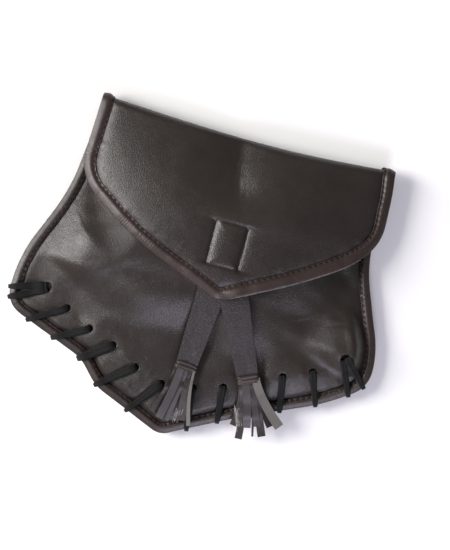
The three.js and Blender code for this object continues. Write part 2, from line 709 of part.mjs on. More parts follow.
// A wrap round the end of a strap, and the tassel that comes out of it.
function addTassel(strap) {
  const { name } = strap;
  const { along, aside, end } = strapLine(strap);
  const up = new THREE.Vector3(0, 0, 1);
  const oval = (width, height) => {
    const corner = Math.min(width, height) / 2;
    const shape = new THREE.Shape();
    shape.moveTo(-width / 2 + corner, -height / 2);
    shape.lineTo(width / 2 - corner, -height / 2);
    shape.absarc(width / 2 - corner, 0, corner, -Math.PI / 2, Math.PI / 2, false);
    shape.lineTo(-width / 2 + corner, height / 2);
    shape.absarc(-width / 2 + corner, 0, corner, Math.PI / 2, 1.5 * Math.PI, false);
    return shape;
  };
  const inner = { width: STRAP_END_WIDTH + 2 * GAP, height: BAND.height - 2 * BAND.wall };
  const ring = oval(inner.width + 2 * BAND.wall, BAND.height);
  ring.holes.push(oval(inner.width, inner.height));
  const band = new THREE.ExtrudeGeometry(ring, {
    depth: BAND.length,
    bevelEnabled: false,
    curveSegments: 5,
  });
  band.applyMatrix4(new THREE.Matrix4().makeBasis(aside, up, along));
  band.translate(...end.clone().addScaledVector(along, -BAND.length / 2));
  add(`tassel_band_${name}`, band, COLORS.leather);

  // The neck fills the wrap, and below it the tassel spreads and lies on what is there.
  const neck = inner.height - 2 * GAP;
  const { thickness, spread, length } = TASSEL;
  const sections = [
    { at: GAP, width: STRAP_END_WIDTH, height: neck, free: false },
    { at: BAND.length / 2 + GAP, width: STRAP_END_WIDTH, height: neck, free: false },
    { at: 7, width: 15, height: thickness, free: true },
    { at: 16, width: 20, height: thickness + 0.6, free: true },
    { at: 26, width: 25, height: thickness, free: true },
    { at: length, width: spread, height: thickness - 1.4, free: true },
  ];
  const corners = 12;
  const square = (v) => Math.sign(v) * Math.abs(v) ** 0.6;
  const points = sections.flatMap(({ at, width, height, free }) => {
    const middle = end.clone().addScaledVector(along, at);
    const across = [-0.5, -0.25, 0, 0.25, 0.5].map((share) =>
      restZ(middle.clone().addScaledVector(aside, width * share)));
    if (free) middle.z = Math.max(end.z - TASSEL_DROP * at, Math.max(...across) + height / 2);
    return Array.from({ length: corners }, (_, i) => {
      const angle = (2 * Math.PI * (i + 0.5)) / corners;
      return middle.clone()
        .addScaledVector(aside, (width / 2) * square(Math.cos(angle)))
        .addScaledVector(up, (height / 2) * square(Math.sin(angle)));
    });
  });
  const triangles = [];
  for (let i = 0; i < sections.length - 1; i += 1) {
    for (let j = 0; j < corners; j += 1) {
      const [a, b] = [i * corners + j, i * corners + ((j + 1) % corners)];
      triangles.push(a, b, b + corners, a, b + corners, a + corners);
    }
  }
  const last = points.length - corners;
  for (let j = 1; j < corners - 1; j += 1) {
    triangles.push(0, j + 1, j, last, last + j, last + j + 1);
  }
  add(`tassel_${name}`, geometryOf(points, triangles), COLORS.leather);
}

STRAPS.forEach((strap) => {
  addStrap(strap);
  addTassel(strap);
});

// The origin is under the middle of the pouch, on the surface that it lies on.
const box = new THREE.Box3().setFromObject(part, true);
const middle = box.getCenter(new THREE.Vector3());
part.position.set(-middle.x, -middle.y, -box.min.z);

export default part;
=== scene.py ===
import math

import bpy
import numpy as np
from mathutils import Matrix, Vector


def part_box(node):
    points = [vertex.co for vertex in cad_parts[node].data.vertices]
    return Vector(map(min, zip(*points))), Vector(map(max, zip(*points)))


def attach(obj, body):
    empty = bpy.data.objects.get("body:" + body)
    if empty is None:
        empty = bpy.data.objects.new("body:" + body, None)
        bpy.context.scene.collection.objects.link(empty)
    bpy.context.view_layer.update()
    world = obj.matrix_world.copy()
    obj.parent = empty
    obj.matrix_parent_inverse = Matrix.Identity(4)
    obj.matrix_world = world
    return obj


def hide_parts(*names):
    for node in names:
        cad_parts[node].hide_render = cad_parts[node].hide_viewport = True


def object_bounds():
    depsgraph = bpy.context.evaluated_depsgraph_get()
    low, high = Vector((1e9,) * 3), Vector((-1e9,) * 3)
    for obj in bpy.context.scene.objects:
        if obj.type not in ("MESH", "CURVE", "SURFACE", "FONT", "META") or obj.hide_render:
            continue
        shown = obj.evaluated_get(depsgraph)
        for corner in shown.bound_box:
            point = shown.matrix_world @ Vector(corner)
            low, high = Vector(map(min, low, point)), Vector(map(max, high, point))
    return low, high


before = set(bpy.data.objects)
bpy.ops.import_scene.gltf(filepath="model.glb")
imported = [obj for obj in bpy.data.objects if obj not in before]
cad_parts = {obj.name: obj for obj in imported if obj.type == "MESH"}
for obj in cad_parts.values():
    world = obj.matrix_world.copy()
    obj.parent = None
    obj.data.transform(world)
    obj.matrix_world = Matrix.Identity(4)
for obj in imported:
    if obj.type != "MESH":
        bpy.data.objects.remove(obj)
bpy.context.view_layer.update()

# Belt pouch of dark brown imitation leather, lying on its back with the flap closed.
# Tables and shapes are in millimetres, with X across the pouch from its middle line and Y
# up to the top of the fold. The last step of each piece turns them into metres and puts
# them in the place of the solids.

loop_low, loop_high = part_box("belt_loop")
LOOP_TOP = -21
MM = 0.001
PLACE = np.array([
    (loop_low.x + loop_high.x) / 2,
    loop_high.y - LOOP_TOP * MM,
    0,
])

# ---------------------------------------------------------------- sizes of the pouch

SHEET = 1.2  # leather of the panels, the flap and the straps
GAP = 0.3  # clearance between pieces that lie on each other
BINDING = 1.1  # leather of the bindings
BINDING_WIDTH = 6  # from the pocket's edge to the inner side of its binding
FLAP_BINDING_WIDTH = 7.2
BINDING_GAP = 0.45  # between a binding and the leather in it
INSET = BINDING + GAP  # from the outside of a binding to the sheet in it
BODY_ROLL = SHEET + GAP / 2 + BINDING_GAP + BINDING  # half the body binding's thickness
FLAP_ROLL = SHEET / 2 + BINDING_GAP + BINDING  # and half that of the flap's

SEAM_Z = 7  # middle of the pocket's sewn edge
FRONT_EDGE_Z, BACK_EDGE_Z = SEAM_Z + (SHEET + GAP) / 2, SEAM_Z - (SHEET + GAP) / 2
BELLY = 9.6  # how far the front swells out above that edge
BELLY_AT_MOUTH = 0.55  # share of it that is left at the mouth
EDGE_RISE = 1  # how far the front has risen just inside its binding
FLOOR_Z = SHEET / 2  # middle of the back where it rests
LOOP_BULGE_Z = 7.75  # middle of the back over the belt loop
BACK_MARGIN = 5  # how much further in the back begins to swell
HOLE_DENT, TURN_DENT = (0.2, 4.5), (0.7, 4.8)  # depth and width of the lace's dents
DENT_START = 0.3  # share of the way from a hole to the edge
PUCKER_HEIGHT, PUCKER_REACH = 0.26, 3.2
SEAM_GROOVE = (0.5, 1.3)  # depth and width

FLAP_SIDE_Z = 12.6  # middle of the flap along its sides
FOLD_Z = 15.6  # and on the middle of its fold
FLAP_RISE = 11.3  # from the fold to the highest part of the flap
FLAP_ARCH = 2.8  # how squarely the flap turns down to its sides
FLAP_MIDDLE = 4  # X of the flap's middle
FLAP_HALF = 89  # from there to its sides
FOLD_SAG, FOLD_LOWEST_X = 4, 16  # how far the top hangs down, and where it does most

MOUTH_Y, MOUTH_DIP = -9.1, 6  # mouth of the pocket, and how much lower in the middle
BACK_TOP_Y, BACK_TOP_DIP = -9.1, 2.8
BINDING_TOP_Y = -11.5

PATCH = {"left": -1.8, "right": 16.8, "top": -53.7, "bottom": -79.2}
# How far the seams at its sides pull the flap in, and how much less the others do.
PATCH_DEPTH, PATCH_LESS = 1.9, 1.4
PATCH_GROOVE = (0.5, 0.7)
PATCH_REACH = 4.2  # how far to its sides the flap is drawn in
TAPE = {"left": -0.9, "right": 15.9, "top": -55, "bottom": -78}
TAPE_THICKNESS = 1.6
HOLE_RADIUS, END_HOLE_RADIUS = 2.1, 3.1
LOOP_HALF, LOOP_THICKNESS, LOOP_BOTTOM = 20, 1.8, -99
LOOP_LAP, LOOP_RAMP, LOOP_BEND = 8, 7, 2.5  # its sewn ends and the way down from them
LOOP_MARGIN, LOOP_SLOPE = 7, 19  # level part of the back round the loop, and the way down

# The sewn edge of the pocket, down its left side, round the bottom and up its right
# side: X, Y and how far each corner is rounded off. Two corners end its sides. The outline
# of the flap is given in the same way.
POCKET_EDGE = [
    (-83.4, -5, 0), (-89.4, -58, 16), (-107.4, -102, 14), (-109, -132, 12),
    (-58, -151.4, 6), (-45.4, -165.2, 6), (-2.2, -183.2, 6), (34, -163.8, 10),
    (84, -141.6, 10), (109, -125, 12), (107.4, -102, 10), (89.4, -58, 16),
    (88.4, -5, 0),
]
POCKET_CORNERS = (3, 9)
POCKET_EDGE_LENGTH = 480  # about

FLAP_EDGE = [
    (-84.5, 2, 0), (-85.6, -49.5, 16), (-47.5, -75.6, 18), (10.2, -98.9, 5),
    (51.7, -76.9, 12), (76, -61.2, 10), (93.6, -44.5, 13), (92.6, -12, 8), (90.2, 2, 0),
]
FLAP_CORNERS = (1, 6)
FLAP_POINT = FLAP_EDGE[3][:2]
FLAP_EDGE_LENGTH = 300  # about

# Holes of the lacing from right to left, and where each turn goes over the edge. At both
# ends two turns come out of one larger hole.
LACING = [
    (91.6, -111.5, 106.3, -126.6), (89.5, -113.2, 98.2, -132.6),
    (74.4, -124.2, 81.2, -143.6), (58.3, -131.4, 61.6, -150.6),
    (42.5, -138.5, 46, -158.6), (26.6, -146.2, 28.3, -166.9),
    (9.3, -151, 12.2, -175.5), (-8.6, -153.4, -24, -173.2),
    (-25.6, -148, -43.6, -162.6), (-41.6, -139.2, -57.2, -150.6),
    (-57.2, -133.6, -75.4, -143.6), (-73, -125.4, -92.6, -137.4),
    (-87.4, -118.2, -104.4, -126.4), (-88.2, -115.6, -107, -121.4),
]
HOLES = [(x, y) for x, y, _, _ in LACING]
END_HOLES = [(90.6, -112.3), (-87.8, -116.9)]
RIGHT_HOLES, LEFT_HOLES = HOLES[1:7], HOLES[7:-1]

# Each strap from where it is sewn to where its tassel begins, and how far it is raised
# where it crosses the other.
STRAPS = {
    "left": {"top": (7.4, -58), "end": (2.8, -140.2), "raised": 0},
    "right": {"top": (3.4, -62), "end": (39.4, -138), "raised": SHEET + 1.5 * GAP},
}
STRAP_WIDTH = (20, 12.2)
STRAPS_PART_Y = -102
BAND_LENGTH, WRAP_HALF = 4.6, 2.3
ON_TAPE = 1.9  # how far the straps are raised over the hook tape
STRAP_SAG = 0.9  # how much lower their sides are than their middle
STRAP_LENGTH = 90  # about
STRAP_ROWS, STRAP_COLUMNS = 91, 13

# Lines inside the lacing from which the front of the pocket swells.
SWELL_LEFT = [
    (-128, -90), (-106, -98), (-95, -102), (-85, -106.5), (-77, -110.8), (-70, -115),
    (-62, -119.6), (-55, -123), (-48, -125.5), (-41, -127.2), (-34, -127.9), (-27, -127.5),
    (-20, -126.4), (-13, -125), (-6, -124.2), (2, -124.3), (10, -125.8), (17, -128),
    (24, -130), (40, -132), (90, -128),
]
SWELL_RIGHT = [
    (-10, -152), (12, -146), (34, -137), (52, -126), (65, -112), (75, -98), (84, -78),
    (96, -40),
]

# Creases of the leather: height, width to the left and to the right of the line, the line.
# Each fades out over a share of its length at both ends.
CREASE_FADE = 0.2
FRONT_CREASES = [
    (-1.5, 30, 9, [(-88, -36), (-77, -56), (-71, -68), (-64, -80)]),
    (2.0, 38, 22, [(-58, -36), (-52, -60), (-48, -78), (-46, -98)]),
    (-1.2, 40, 16, [(-80, -112), (-74, -121), (-67, -135)]),
    (0.8, 10, 8, [(-66, -131), (-57, -134), (-41, -141), (-26, -150), (-8, -156)]),
    (-1.8, 18, 14, [(80, -48), (72, -80), (66, -98), (63, -110), (58, -124)]),
    (2.4, 24, 34, [(98, -70), (94, -88), (89, -104), (84, -122)]),
    (1.7, 8, 30, [(96, -113), (88, -117), (74, -125.5), (60, -132), (46, -137)]),
    (-1.4, 18, 9, [(2, -88), (2, -146)]),
    (-1.3, 9, 9, [(18, -84), (38, -136), (42, -146)]),
]
SHARP_CREASES = [
    (4.6, 7, 20, [
        (-106, -12), (-89, -52), (-82, -68), (-76, -78), (-67, -86), (-57, -91), (-46, -95),
    ]),
    (10.5, 6, 23, [(107, -89), (104, -96), (102, -103), (101, -110), (98, -124)]),
]
FINE_CREASES = [
    (0.16, 1.1, 1.1, [(66, -96), (78, -92.8), (92, -89.6)]),
    (-0.2, 1, 1.2, [(68, -98), (80, -95), (93, -92)]),
    (0.14, 0.9, 0.9, [(52, -99), (62, -95), (72, -89.6)]),
    (-0.14, 0.8, 1, [(56, -100), (65, -96.4), (75, -91)]),
    (0.14, 0.9, 0.9, [(60, -99.6), (70, -96), (80, -91.4)]),
    (0.16, 0.9, 0.9, [(80, -90.2), (88, -87.6), (96, -86)]),
    (0.2, 1, 1, [(-82, -69), (-76.5, -77), (-70, -83)]),
    (0.2, 1, 1, [(-86, -66), (-80, -73), (-77, -80)]),
]
FLAP_CREASES = [
    (0.4, 8, 8, [(-30, -14), (-26, -44)]),
]
SHARP_FLAP_CREASES = [
    (-4.6, 12, 20, [(1.2, 26), (1.2, -8), (1.8, -18), (3.4, -27), (6.5, -37), (10, -50)]),
]
FINE_FLAP_CREASES = [
    (0.13, 0.8, 0.8, [(4, -10), (2.2, -20), (3.4, -30), (7, -40)]),
    (0.1, 0.8, 0.8, [(6.4, -24), (8, -34), (7.2, -46)]),
    (0.1, 1, 1, [(-22, -40), (-16, -41.5), (-12, -44)]),
]


# ------------------------------------------------------------------ outlines and lines

FAR = 1e9
PAST_END = 60  # how far a line is carried on past its ends
LATTICE = 64  # cells of random heights each way before they repeat
RASTER = 0.8  # step of the raster that reliefs are worked out on


def smoothstep(value, low, high):
    t = np.clip((value - low) / (high - low), 0, 1)
    return t * t * (3 - 2 * t)


def blend(a, b, t):
    return a + (b - a) * t


def shares(count):
    return np.linspace(0, 1, count)


def all_round(count):
    """Even angles for a whole turn."""
    return np.linspace(0, 2 * np.pi, count + 1)[:-1]


def unit(v):
    return v / np.maximum(np.linalg.norm(v, axis=-1, keepdims=True), 1e-9)


def level(line, z):
    """A flat line at that height."""
    return np.column_stack([line, np.full(len(line), z)])


def facing(line, up):
    """The way up, or down, for each place of a line."""
    return np.tile([0.0, 0.0, up], (len(line), 1))


def both_ends(chosen):
    """Numbers of the first and the last place that are chosen."""
    numbers = np.flatnonzero(chosen)
    return numbers[0], numbers[-1]


def smoothed(values, reach):
    """Each row of values averaged with its neighbours."""
    kernel = np.hanning(2 * reach + 3)[1:-1]
    padded = np.concatenate([
        np.repeat(values[:1], reach, axis=0), values, np.repeat(values[-1:], reach, axis=0)])
    columns = [np.convolve(column, kernel / kernel.sum(), "valid") for column in padded.T]
    return np.stack(columns, axis=1)


def lengths(points):
    """How far along a line each of its points is."""
    gaps = np.linalg.norm(np.diff(points, axis=0), axis=1)
    return np.concatenate([[0], np.cumsum(gaps)])


def read_off(rows, at, places):
    """Rows that are known at some places, read off at others."""
    return np.stack([np.interp(places, at, column) for column in rows.T], axis=-1)


def evenly(points, count):
    at = lengths(points)
    return read_off(points, at, np.linspace(0, at[-1], count + 1))


def bow(start, middle, end, t):
    """A curve from start to end, drawn towards its middle."""
    t = t[:, None]
    return (1 - t) ** 2 * start + 2 * t * (1 - t) * middle + t ** 2 * end


def rounded_outline(corners, count=800):
    """Even points along a line whose corners are rounded off, each by its own length."""
    at = np.array([(x, y) for x, y, _ in corners], float)
    parts = [at[:1]]
    for i in range(1, len(at) - 1):
        before, after = [at[i] + unit(at[k] - at[i]) * corners[i][2] for k in (i - 1, i + 1)]
        parts.append(bow(before, at[i], after, shares(13)))
    return evenly(np.vstack([*parts, at[-1:]]), count)


def inset_line(points, distance):
    """The line moved to the left of the way it runs, which is inwards."""
    way = unit(np.gradient(points, axis=0))
    return points + distance * np.stack([-way[:, 1], way[:, 0]], axis=1)


def nearest(points, place):
    return int(np.argmin(np.linalg.norm(points - np.array(place), axis=1)))


def stretch(points, start, end):
    """Part of a line from one of its points to another, as a function of 0 to 1."""
    return lambda t: read_off(points, np.arange(len(points)), blend(start, end, t))


def area_below(top, line, ends, corners, down, across):
    """A grid of places from a top line down to an outline. Its rows run down.

    The outline is followed from its two ends down to its two low corners.
    """
    bottom = stretch(line, *corners)
    left, right = [stretch(line, *pair) for pair in zip(ends, corners)]
    s, t = across[None, :, None], down[:, None, None]
    grid = (1 - t) * top(across)[None] + t * bottom(across)[None]
    grid = grid + (1 - s) * left(down)[:, None] + s * right(down)[:, None]
    for share, side in ((1 - t, top), (t, bottom)):
        corner = side(np.array([0.0, 1.0]))
        grid = grid - share * ((1 - s) * corner[0] + s * corner[1])
    return grid


def beside(line, x, y):
    """Distance of each point from a line, its side of the line, and how far along it is."""
    line = np.array(line, float)
    best = np.full(x.shape, FAR)
    side = np.zeros(x.shape)
    along = np.zeros(x.shape)
    at = lengths(line)
    for i in range(len(line) - 1):
        (ax, ay), (bx, by) = line[i], line[i + 1]
        dx, dy = bx - ax, by - ay
        t = np.clip(((x - ax) * dx + (y - ay) * dy) / (dx * dx + dy * dy), 0, 1)
        gap = np.hypot(x - ax - t * dx, y - ay - t * dy)
        near = gap < best
        best = np.where(near, gap, best)
        side = np.where(near, np.sign(dx * (y - ay) - dy * (x - ax)), side)
        along = np.where(near, (at[i] + t * (at[i + 1] - at[i])) / at[-1], along)
    return best, side, along


def left_of(line, x, y):
    gap, side, _ = beside(line, x, y)
    return gap * side


def extended(points):
    """A line carried on for a way past both of its ends."""
    points = np.array([p[:2] for p in points], float)
    points[0] += PAST_END * unit(points[0] - points[1])
    points[-1] += PAST_END * unit(points[-1] - points[-2])
    return points


def unevenness(x, y, size, seed):
    """Smooth irregular heights from -1 to 1, with bumps about that size apart."""
    lattice = np.random.default_rng(seed).uniform(-1, 1, (LATTICE, LATTICE))
    u, v = x / size + LATTICE / 2, y / size + LATTICE / 2
    i, j = np.floor(u).astype(int), np.floor(v).astype(int)
    fu, fv = u - i, v - j
    fu, fv = fu * fu * (3 - 2 * fu), fv * fv * (3 - 2 * fv)

    def corner(di, dj):
        return lattice[(i + di) % LATTICE, (j + dj) % LATTICE]

    low = blend(corner(0, 0), corner(1, 0), fu)
    high = blend(corner(0, 1), corner(1, 1), fu)
    return blend(low, high, fv)


def waver(run, size, seed):
    """Unevenness along a line."""
    return unevenness(run, 0 * run, size, seed)


def crease_heights(creases, x, y, fade, power=2.0):
    """Heights of creases. A low power gives them sharp crests."""
    total = np.zeros(x.shape)
    for height, left, right, line in creases:
        gap, side, along = beside(line, x, y)
        width = np.where(side > 0, left, right)
        ends = smoothstep(along, 0, fade) * (1 - smoothstep(along, 1 - fade, 1))
        total = total + height * np.exp(-(gap / width) ** power) * ends
    return total


def relief(low, high, softness, heights):
    """Heights worked out once on a raster and softened, as a function of place."""
    step = RASTER
    xs, ys = (np.arange(a, b + step, step) for a, b in zip(low, high))
    field = heights(*np.meshgrid(xs, ys, indexing="ij"))
    reach = int(3 * softness / step) + 1
    kernel = np.exp(-(np.arange(-reach, reach + 1) * step / softness) ** 2 / 2)
    kernel /= kernel.sum()
    for axis in (0, 1):
        pad = [(0, 0), (0, 0)]
        pad[axis] = (reach, reach)
        padded = np.pad(field, pad, mode="edge")
        field = np.apply_along_axis(np.convolve, axis, padded, kernel, "valid")

    def height(x, y):
        u = np.clip((x - xs[0]) / step, 0, len(xs) - 1.001)
        v = np.clip((y - ys[0]) / step, 0, len(ys) - 1.001)
        i, j = u.astype(int), v.astype(int)
        low_side = blend(field[i, j], field[i + 1, j], u - i)
        high_side = blend(field[i, j + 1], field[i + 1, j + 1], u - i)
        return blend(low_side, high_side, v - j)

    return height


# ----------------------------------------------------------------- heights of the leather

POCKET_SIDES = [extended(POCKET_EDGE[a:b]) for a, b in [(0, 4), (3, 7), (6, 10), (9, 13)]]

pocket_outline = rounded_outline(POCKET_EDGE)
pocket_line = inset_line(pocket_outline, INSET)
flap_outline = rounded_outline(FLAP_EDGE)
flap_line = inset_line(flap_outline, INSET)
pocket_rim, flap_rim = pocket_outline[::6], flap_outline[::6]
pocket_corners = [nearest(pocket_outline, POCKET_EDGE[i][:2]) for i in POCKET_CORNERS]
flap_corners = [nearest(flap_outline, FLAP_EDGE[i][:2]) for i in FLAP_CORNERS]

# Lines that the back swells from, the margin that stays flat and the reach to full.
SIDE_MARGIN, SIDE_REACH = 7.5, 42
HOLE_MARGIN, HOLE_REACH = 2, 34
SWELL_LINES = [
    (POCKET_SIDES[0], SIDE_MARGIN, SIDE_REACH),
    (extended(LEFT_HOLES[::-1]), HOLE_MARGIN, HOLE_REACH),
    (extended(RIGHT_HOLES[::-1]), HOLE_MARGIN, HOLE_REACH),
    (POCKET_SIDES[3], SIDE_MARGIN, SIDE_REACH),
]


def fullness(x, y):
    """How far the back has come to its full depth: 0 at its edge, 1 well inside."""
    total = np.ones(x.shape)
    for line, margin, reach in SWELL_LINES:
        u = np.clip((left_of(line, x, y) - margin - BACK_MARGIN) / reach, 0, 1)
        total = total * u * (2 - u)
    return total


def inside(x, y, over=11):
    """0 at the binding of the pocket, and 1 from that distance inside it."""
    total = np.ones(x.shape)
    for line in POCKET_SIDES:
        gap = left_of(line, x, y) - BINDING_WIDTH - 1
        total = total * smoothstep(gap, 0, over)
    return total


def back_z(x, y):
    """Middle of the back, which goes down to the floor and over the belt loop."""
    beside_loop = np.abs(x) - LOOP_HALF - LOOP_MARGIN
    below_loop = LOOP_BOTTOM - LOOP_MARGIN - y
    over_loop = (1 - smoothstep(beside_loop, 0, LOOP_SLOPE)) \
        * (1 - smoothstep(below_loop, 0, LOOP_SLOPE))
    below_top = smoothstep(-y, 9, 17)
    away = blend(np.minimum(1, 1.5 * fullness(x, y)), 1, over_loop)
    return blend(BACK_EDGE_Z, blend(FLOOR_Z, LOOP_BULGE_Z, over_loop), away * below_top)


def flap_z(x, y):
    """Middle of the flap without its creases."""
    aside = np.minimum(1, np.abs(x - FLAP_MIDDLE) / FLAP_HALF)
    down = np.clip((-y - 5) / 60, 0, 1)
    crown = FOLD_Z + FLAP_RISE * np.sin(np.pi / 2 * down) - 0.8 * smoothstep(-y, 70, 98)
    arch = 1 - aside ** FLAP_ARCH
    return FLAP_SIDE_Z + (crown - FLAP_SIDE_Z) * arch


def groove(gap, depth, width):
    return depth * np.exp(-(gap / width) ** 2)


def lacing_dents(x, y):
    """Dents round the holes and under the turns of the lace."""
    total = np.zeros(x.shape)
    for hx, hy, ex, ey in LACING:
        start = (blend(hx, ex, DENT_START), blend(hy, ey, DENT_START))
        turn, _, _ = beside([start, (ex, ey)], x, y)
        total = total - groove(np.hypot(x - hx, y - hy), *HOLE_DENT) - groove(turn, *TURN_DENT)
    return total


def seam_puckers(gap, run, seed):
    """Small waves that run in from a sewn seam and die out within a few millimetres."""
    wave = unevenness(run, gap * 0.35, 3.4, seed)
    wave = wave + 0.6 * unevenness(run, gap * 0.3, 7, seed + 1)
    return PUCKER_HEIGHT * wave * np.exp(-np.maximum(gap, 0) / PUCKER_REACH)


def full_and_creased(x, y):
    """Height of the front above its edge: the fill behind it, and the large creases."""
    ramps = [
        (left_of(POCKET_SIDES[0], x, y) - 7 - 9 * smoothstep(y, -72, -54))
        / blend(SIDE_REACH, 95, smoothstep(-y, 98, 108) * smoothstep(-x, 64, 84)),
        left_of(SWELL_LEFT, x, y) / blend(20, 28, smoothstep(x, -75, -50)),
        left_of(SWELL_RIGHT, x, y) / SIDE_REACH,
        (left_of(POCKET_SIDES[3], x, y) - SIDE_MARGIN) / SIDE_REACH,
    ]
    ramps = [np.clip(u, 0, 1) for u in ramps]
    ramps[0] = blend(ramps[0], ramps[0] * (2 - ramps[0]), 0.15)
    ramps[1:3] = [smoothstep(u, 0, 1) for u in ramps[1:3]]
    ramps[3] = ramps[3] * (2 - ramps[3])
    swelling = BELLY * blend(BELLY_AT_MOUTH, 1, smoothstep(-y, 12, 62))
    creases = crease_heights(FRONT_CREASES, x, y, CREASE_FADE) \
        + crease_heights(SHARP_CREASES, x, y, 0.34, 1.4)
    left_margin = blend(22, 9, smoothstep(y, -76, -60))
    free = inside(x, y, blend(left_margin, 6, smoothstep(x, -70, 60)))
    return np.minimum.reduce(ramps) * swelling + free * creases


def flap_creases(x, y):
    return crease_heights(FLAP_CREASES, x, y, CREASE_FADE) \
        + crease_heights(SHARP_FLAP_CREASES, x, y, 0.24, 1.3)


# Each relief has the corners of its area and how far it is softened.
front_relief = relief((-116, -190), (116, 0), 1.8, full_and_creased)
flap_relief = relief((-96, -104), (100, 12), 0.8, flap_creases)


def past_binding(gap, over):
    """0 at the inner side of the binding, and 1 from that distance inside it."""
    return smoothstep(gap, BINDING_WIDTH, BINDING_WIDTH + over)


def front_surface(x, y):
    """Middle of the front panel with its creases, dents and puckers."""
    free = inside(x, y)
    edge_gap, _, along = beside(pocket_rim, x, y)
    past = edge_gap - BINDING_WIDTH
    rise = EDGE_RISE * past_binding(edge_gap, 4)
    side_gap, low_gap = [
        np.minimum(left_of(POCKET_SIDES[i], x, y), left_of(POCKET_SIDES[j], x, y))
        for i, j in ((0, 3), (1, 2))]
    rise = rise * past_binding(side_gap, 26)
    swell = 1 - np.exp(-np.maximum(low_gap - BINDING_WIDTH, 0) / 9)
    rise = rise + blend(2.4, 3.6, smoothstep(x, -20, 30)) * swell \
        * past_binding(side_gap, 44) * smoothstep(-y, 92, 116) * smoothstep(x, -88, -48)
    z = FRONT_EDGE_Z + rise + front_relief(x, y) + lacing_dents(x, y)
    z = z + free * crease_heights(FINE_CREASES, x, y, CREASE_FADE)
    puckers = seam_puckers(past, along * POCKET_EDGE_LENGTH, 7)
    z = z + 0.9 * puckers * smoothstep(edge_gap, 5, 7)
    z = z - groove(past, *SEAM_GROOVE)
    for i, line in enumerate([extended(RIGHT_HOLES), extended(LEFT_HOLES)]):
        gap, _, along = beside(line, x, y)
        run = along * lengths(line)[-1]
        near_lace = smoothstep(-y, 100, 112) * smoothstep(edge_gap, 8, 13)
        z = z + 1.2 * seam_puckers(gap, run, 40 + i) * near_lace
    return z + free * (0.16 * unevenness(x, y, 17, 3) + 0.05 * unevenness(x, y, 6, 4))


def patch_pull(x, y):
    """How far the sewn rectangle of the closure pulls the flap in, and how it puffs up."""
    out_x, out_y = (
        np.abs(v - (PATCH[a] + PATCH[b]) / 2) - abs(PATCH[b] - PATCH[a]) / 2
        for v, a, b in ((x, "left", "right"), (y, "top", "bottom")))
    within_x, within_y = np.maximum(-out_x, 0), np.maximum(-out_y, 0)
    past_x, past_y = np.maximum(out_x, 0), np.maximum(out_y, 0)
    depth = PATCH_DEPTH - PATCH_LESS * smoothstep(out_y - out_x, -1.5, 1.5)
    pulled = depth / PATCH_DEPTH * np.exp(-(past_x / PATCH_REACH + past_y))
    half = (PATCH["right"] - PATCH["left"]) / 2
    bulge = 0.6 * (1 - np.exp(-within_x / 2)) + 0.4 * (1 - (1 - within_x / half) ** 2)
    pillow = bulge * (1 - np.exp(-within_y / 0.8))
    within = (out_x < 0) & (out_y < 0)
    from_seam = np.where(within, np.minimum(within_x, within_y), np.hypot(past_x, past_y))
    puffed = np.where(within, depth * pillow, 0)
    return puffed - PATCH_DEPTH * pulled - groove(from_seam, *PATCH_GROOVE)


def flap_surface(x, y):
    """Middle of the flap with its creases and the pulled-in seam of the closure."""
    z = flap_z(x, y) + flap_relief(x, y)
    z = z + crease_heights(FINE_FLAP_CREASES, x, y, CREASE_FADE) + patch_pull(x, y)
    gap, _, along = beside(flap_rim, x, y)
    past = gap - FLAP_BINDING_WIDTH
    puckers = seam_puckers(past, along * FLAP_EDGE_LENGTH, 17)
    z = z + 0.9 * puckers * smoothstep(-y, 12, 30)
    low_right = smoothstep(x, 8, 26) * smoothstep(-y, 44, 60)
    z = z + blend(1.5, 0.5, low_right) * (1 - np.exp(-np.maximum(past + 0.4, 0) / 2.2))
    return z + 0.16 * unevenness(x, y, 19, 5) + 0.05 * unevenness(x, y, 6, 6)


# ------------------------------------------------------------------------ making meshes

def linked(name, data):
    """A new object of the scene with this data."""
    piece = bpy.data.objects.new(name, data)
    bpy.context.scene.collection.objects.link(piece)
    return piece


def placed(points):
    """Millimetres on the pouch as metres in the scene."""
    return (np.asarray(points, float).reshape(-1, 3) * MM + PLACE).tolist()


def new_piece(name, points, faces, *materials):
    """A smoothly shaded mesh from points in millimetres."""
    mesh = bpy.data.meshes.new(name)
    mesh.from_pydata(placed(points), [], [list(map(int, face)) for face in faces])
    for material in materials:
        mesh.materials.append(material)
    mesh.polygons.foreach_set("use_smooth", [True] * len(mesh.polygons))
    mesh.update()
    return linked(name, mesh)


def baked(piece):
    """The piece with its modifiers turned into plain mesh."""
    bpy.context.view_layer.update()
    graph = bpy.context.evaluated_depsgraph_get()
    mesh = bpy.data.meshes.new_from_object(piece.evaluated_get(graph), depsgraph=graph)
    piece.modifiers.clear()
    old, piece.data = piece.data, mesh
    bpy.data.meshes.remove(old)
    mesh.name = piece.name
    return piece


def crisp(piece):
    """Keeps the cut edges of a piece sharp."""
    piece.data.set_sharp_from_angle(angle=math.radians(40))
    return piece


def finished(piece, slot, *nodes):
    """Puts a piece on the pouch, in place of its plain solids."""
    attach(piece, "root")
    if nodes:
        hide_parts(*nodes)
    return piece


def raised(grid, height):
    """A flat grid lifted to its heights."""
    return np.dstack([grid, height(grid[..., 0], grid[..., 1])])


def thicken(piece, thickness):
    """Gives a sheet its thickness. A second finish, if it has one, lines its other side."""
    solid = piece.modifiers.new("thickness", "SOLIDIFY")
    solid.thickness = thickness * MM
    solid.offset = 0
    solid.material_offset = len(piece.data.materials) - 1


def round_edges(piece, width):
    bevel = piece.modifiers.new("rounded", "BEVEL")
    bevel.width = width * MM
    bevel.segments = 3
    bevel.limit_method = "ANGLE"
    bevel.angle_limit = math.radians(50)


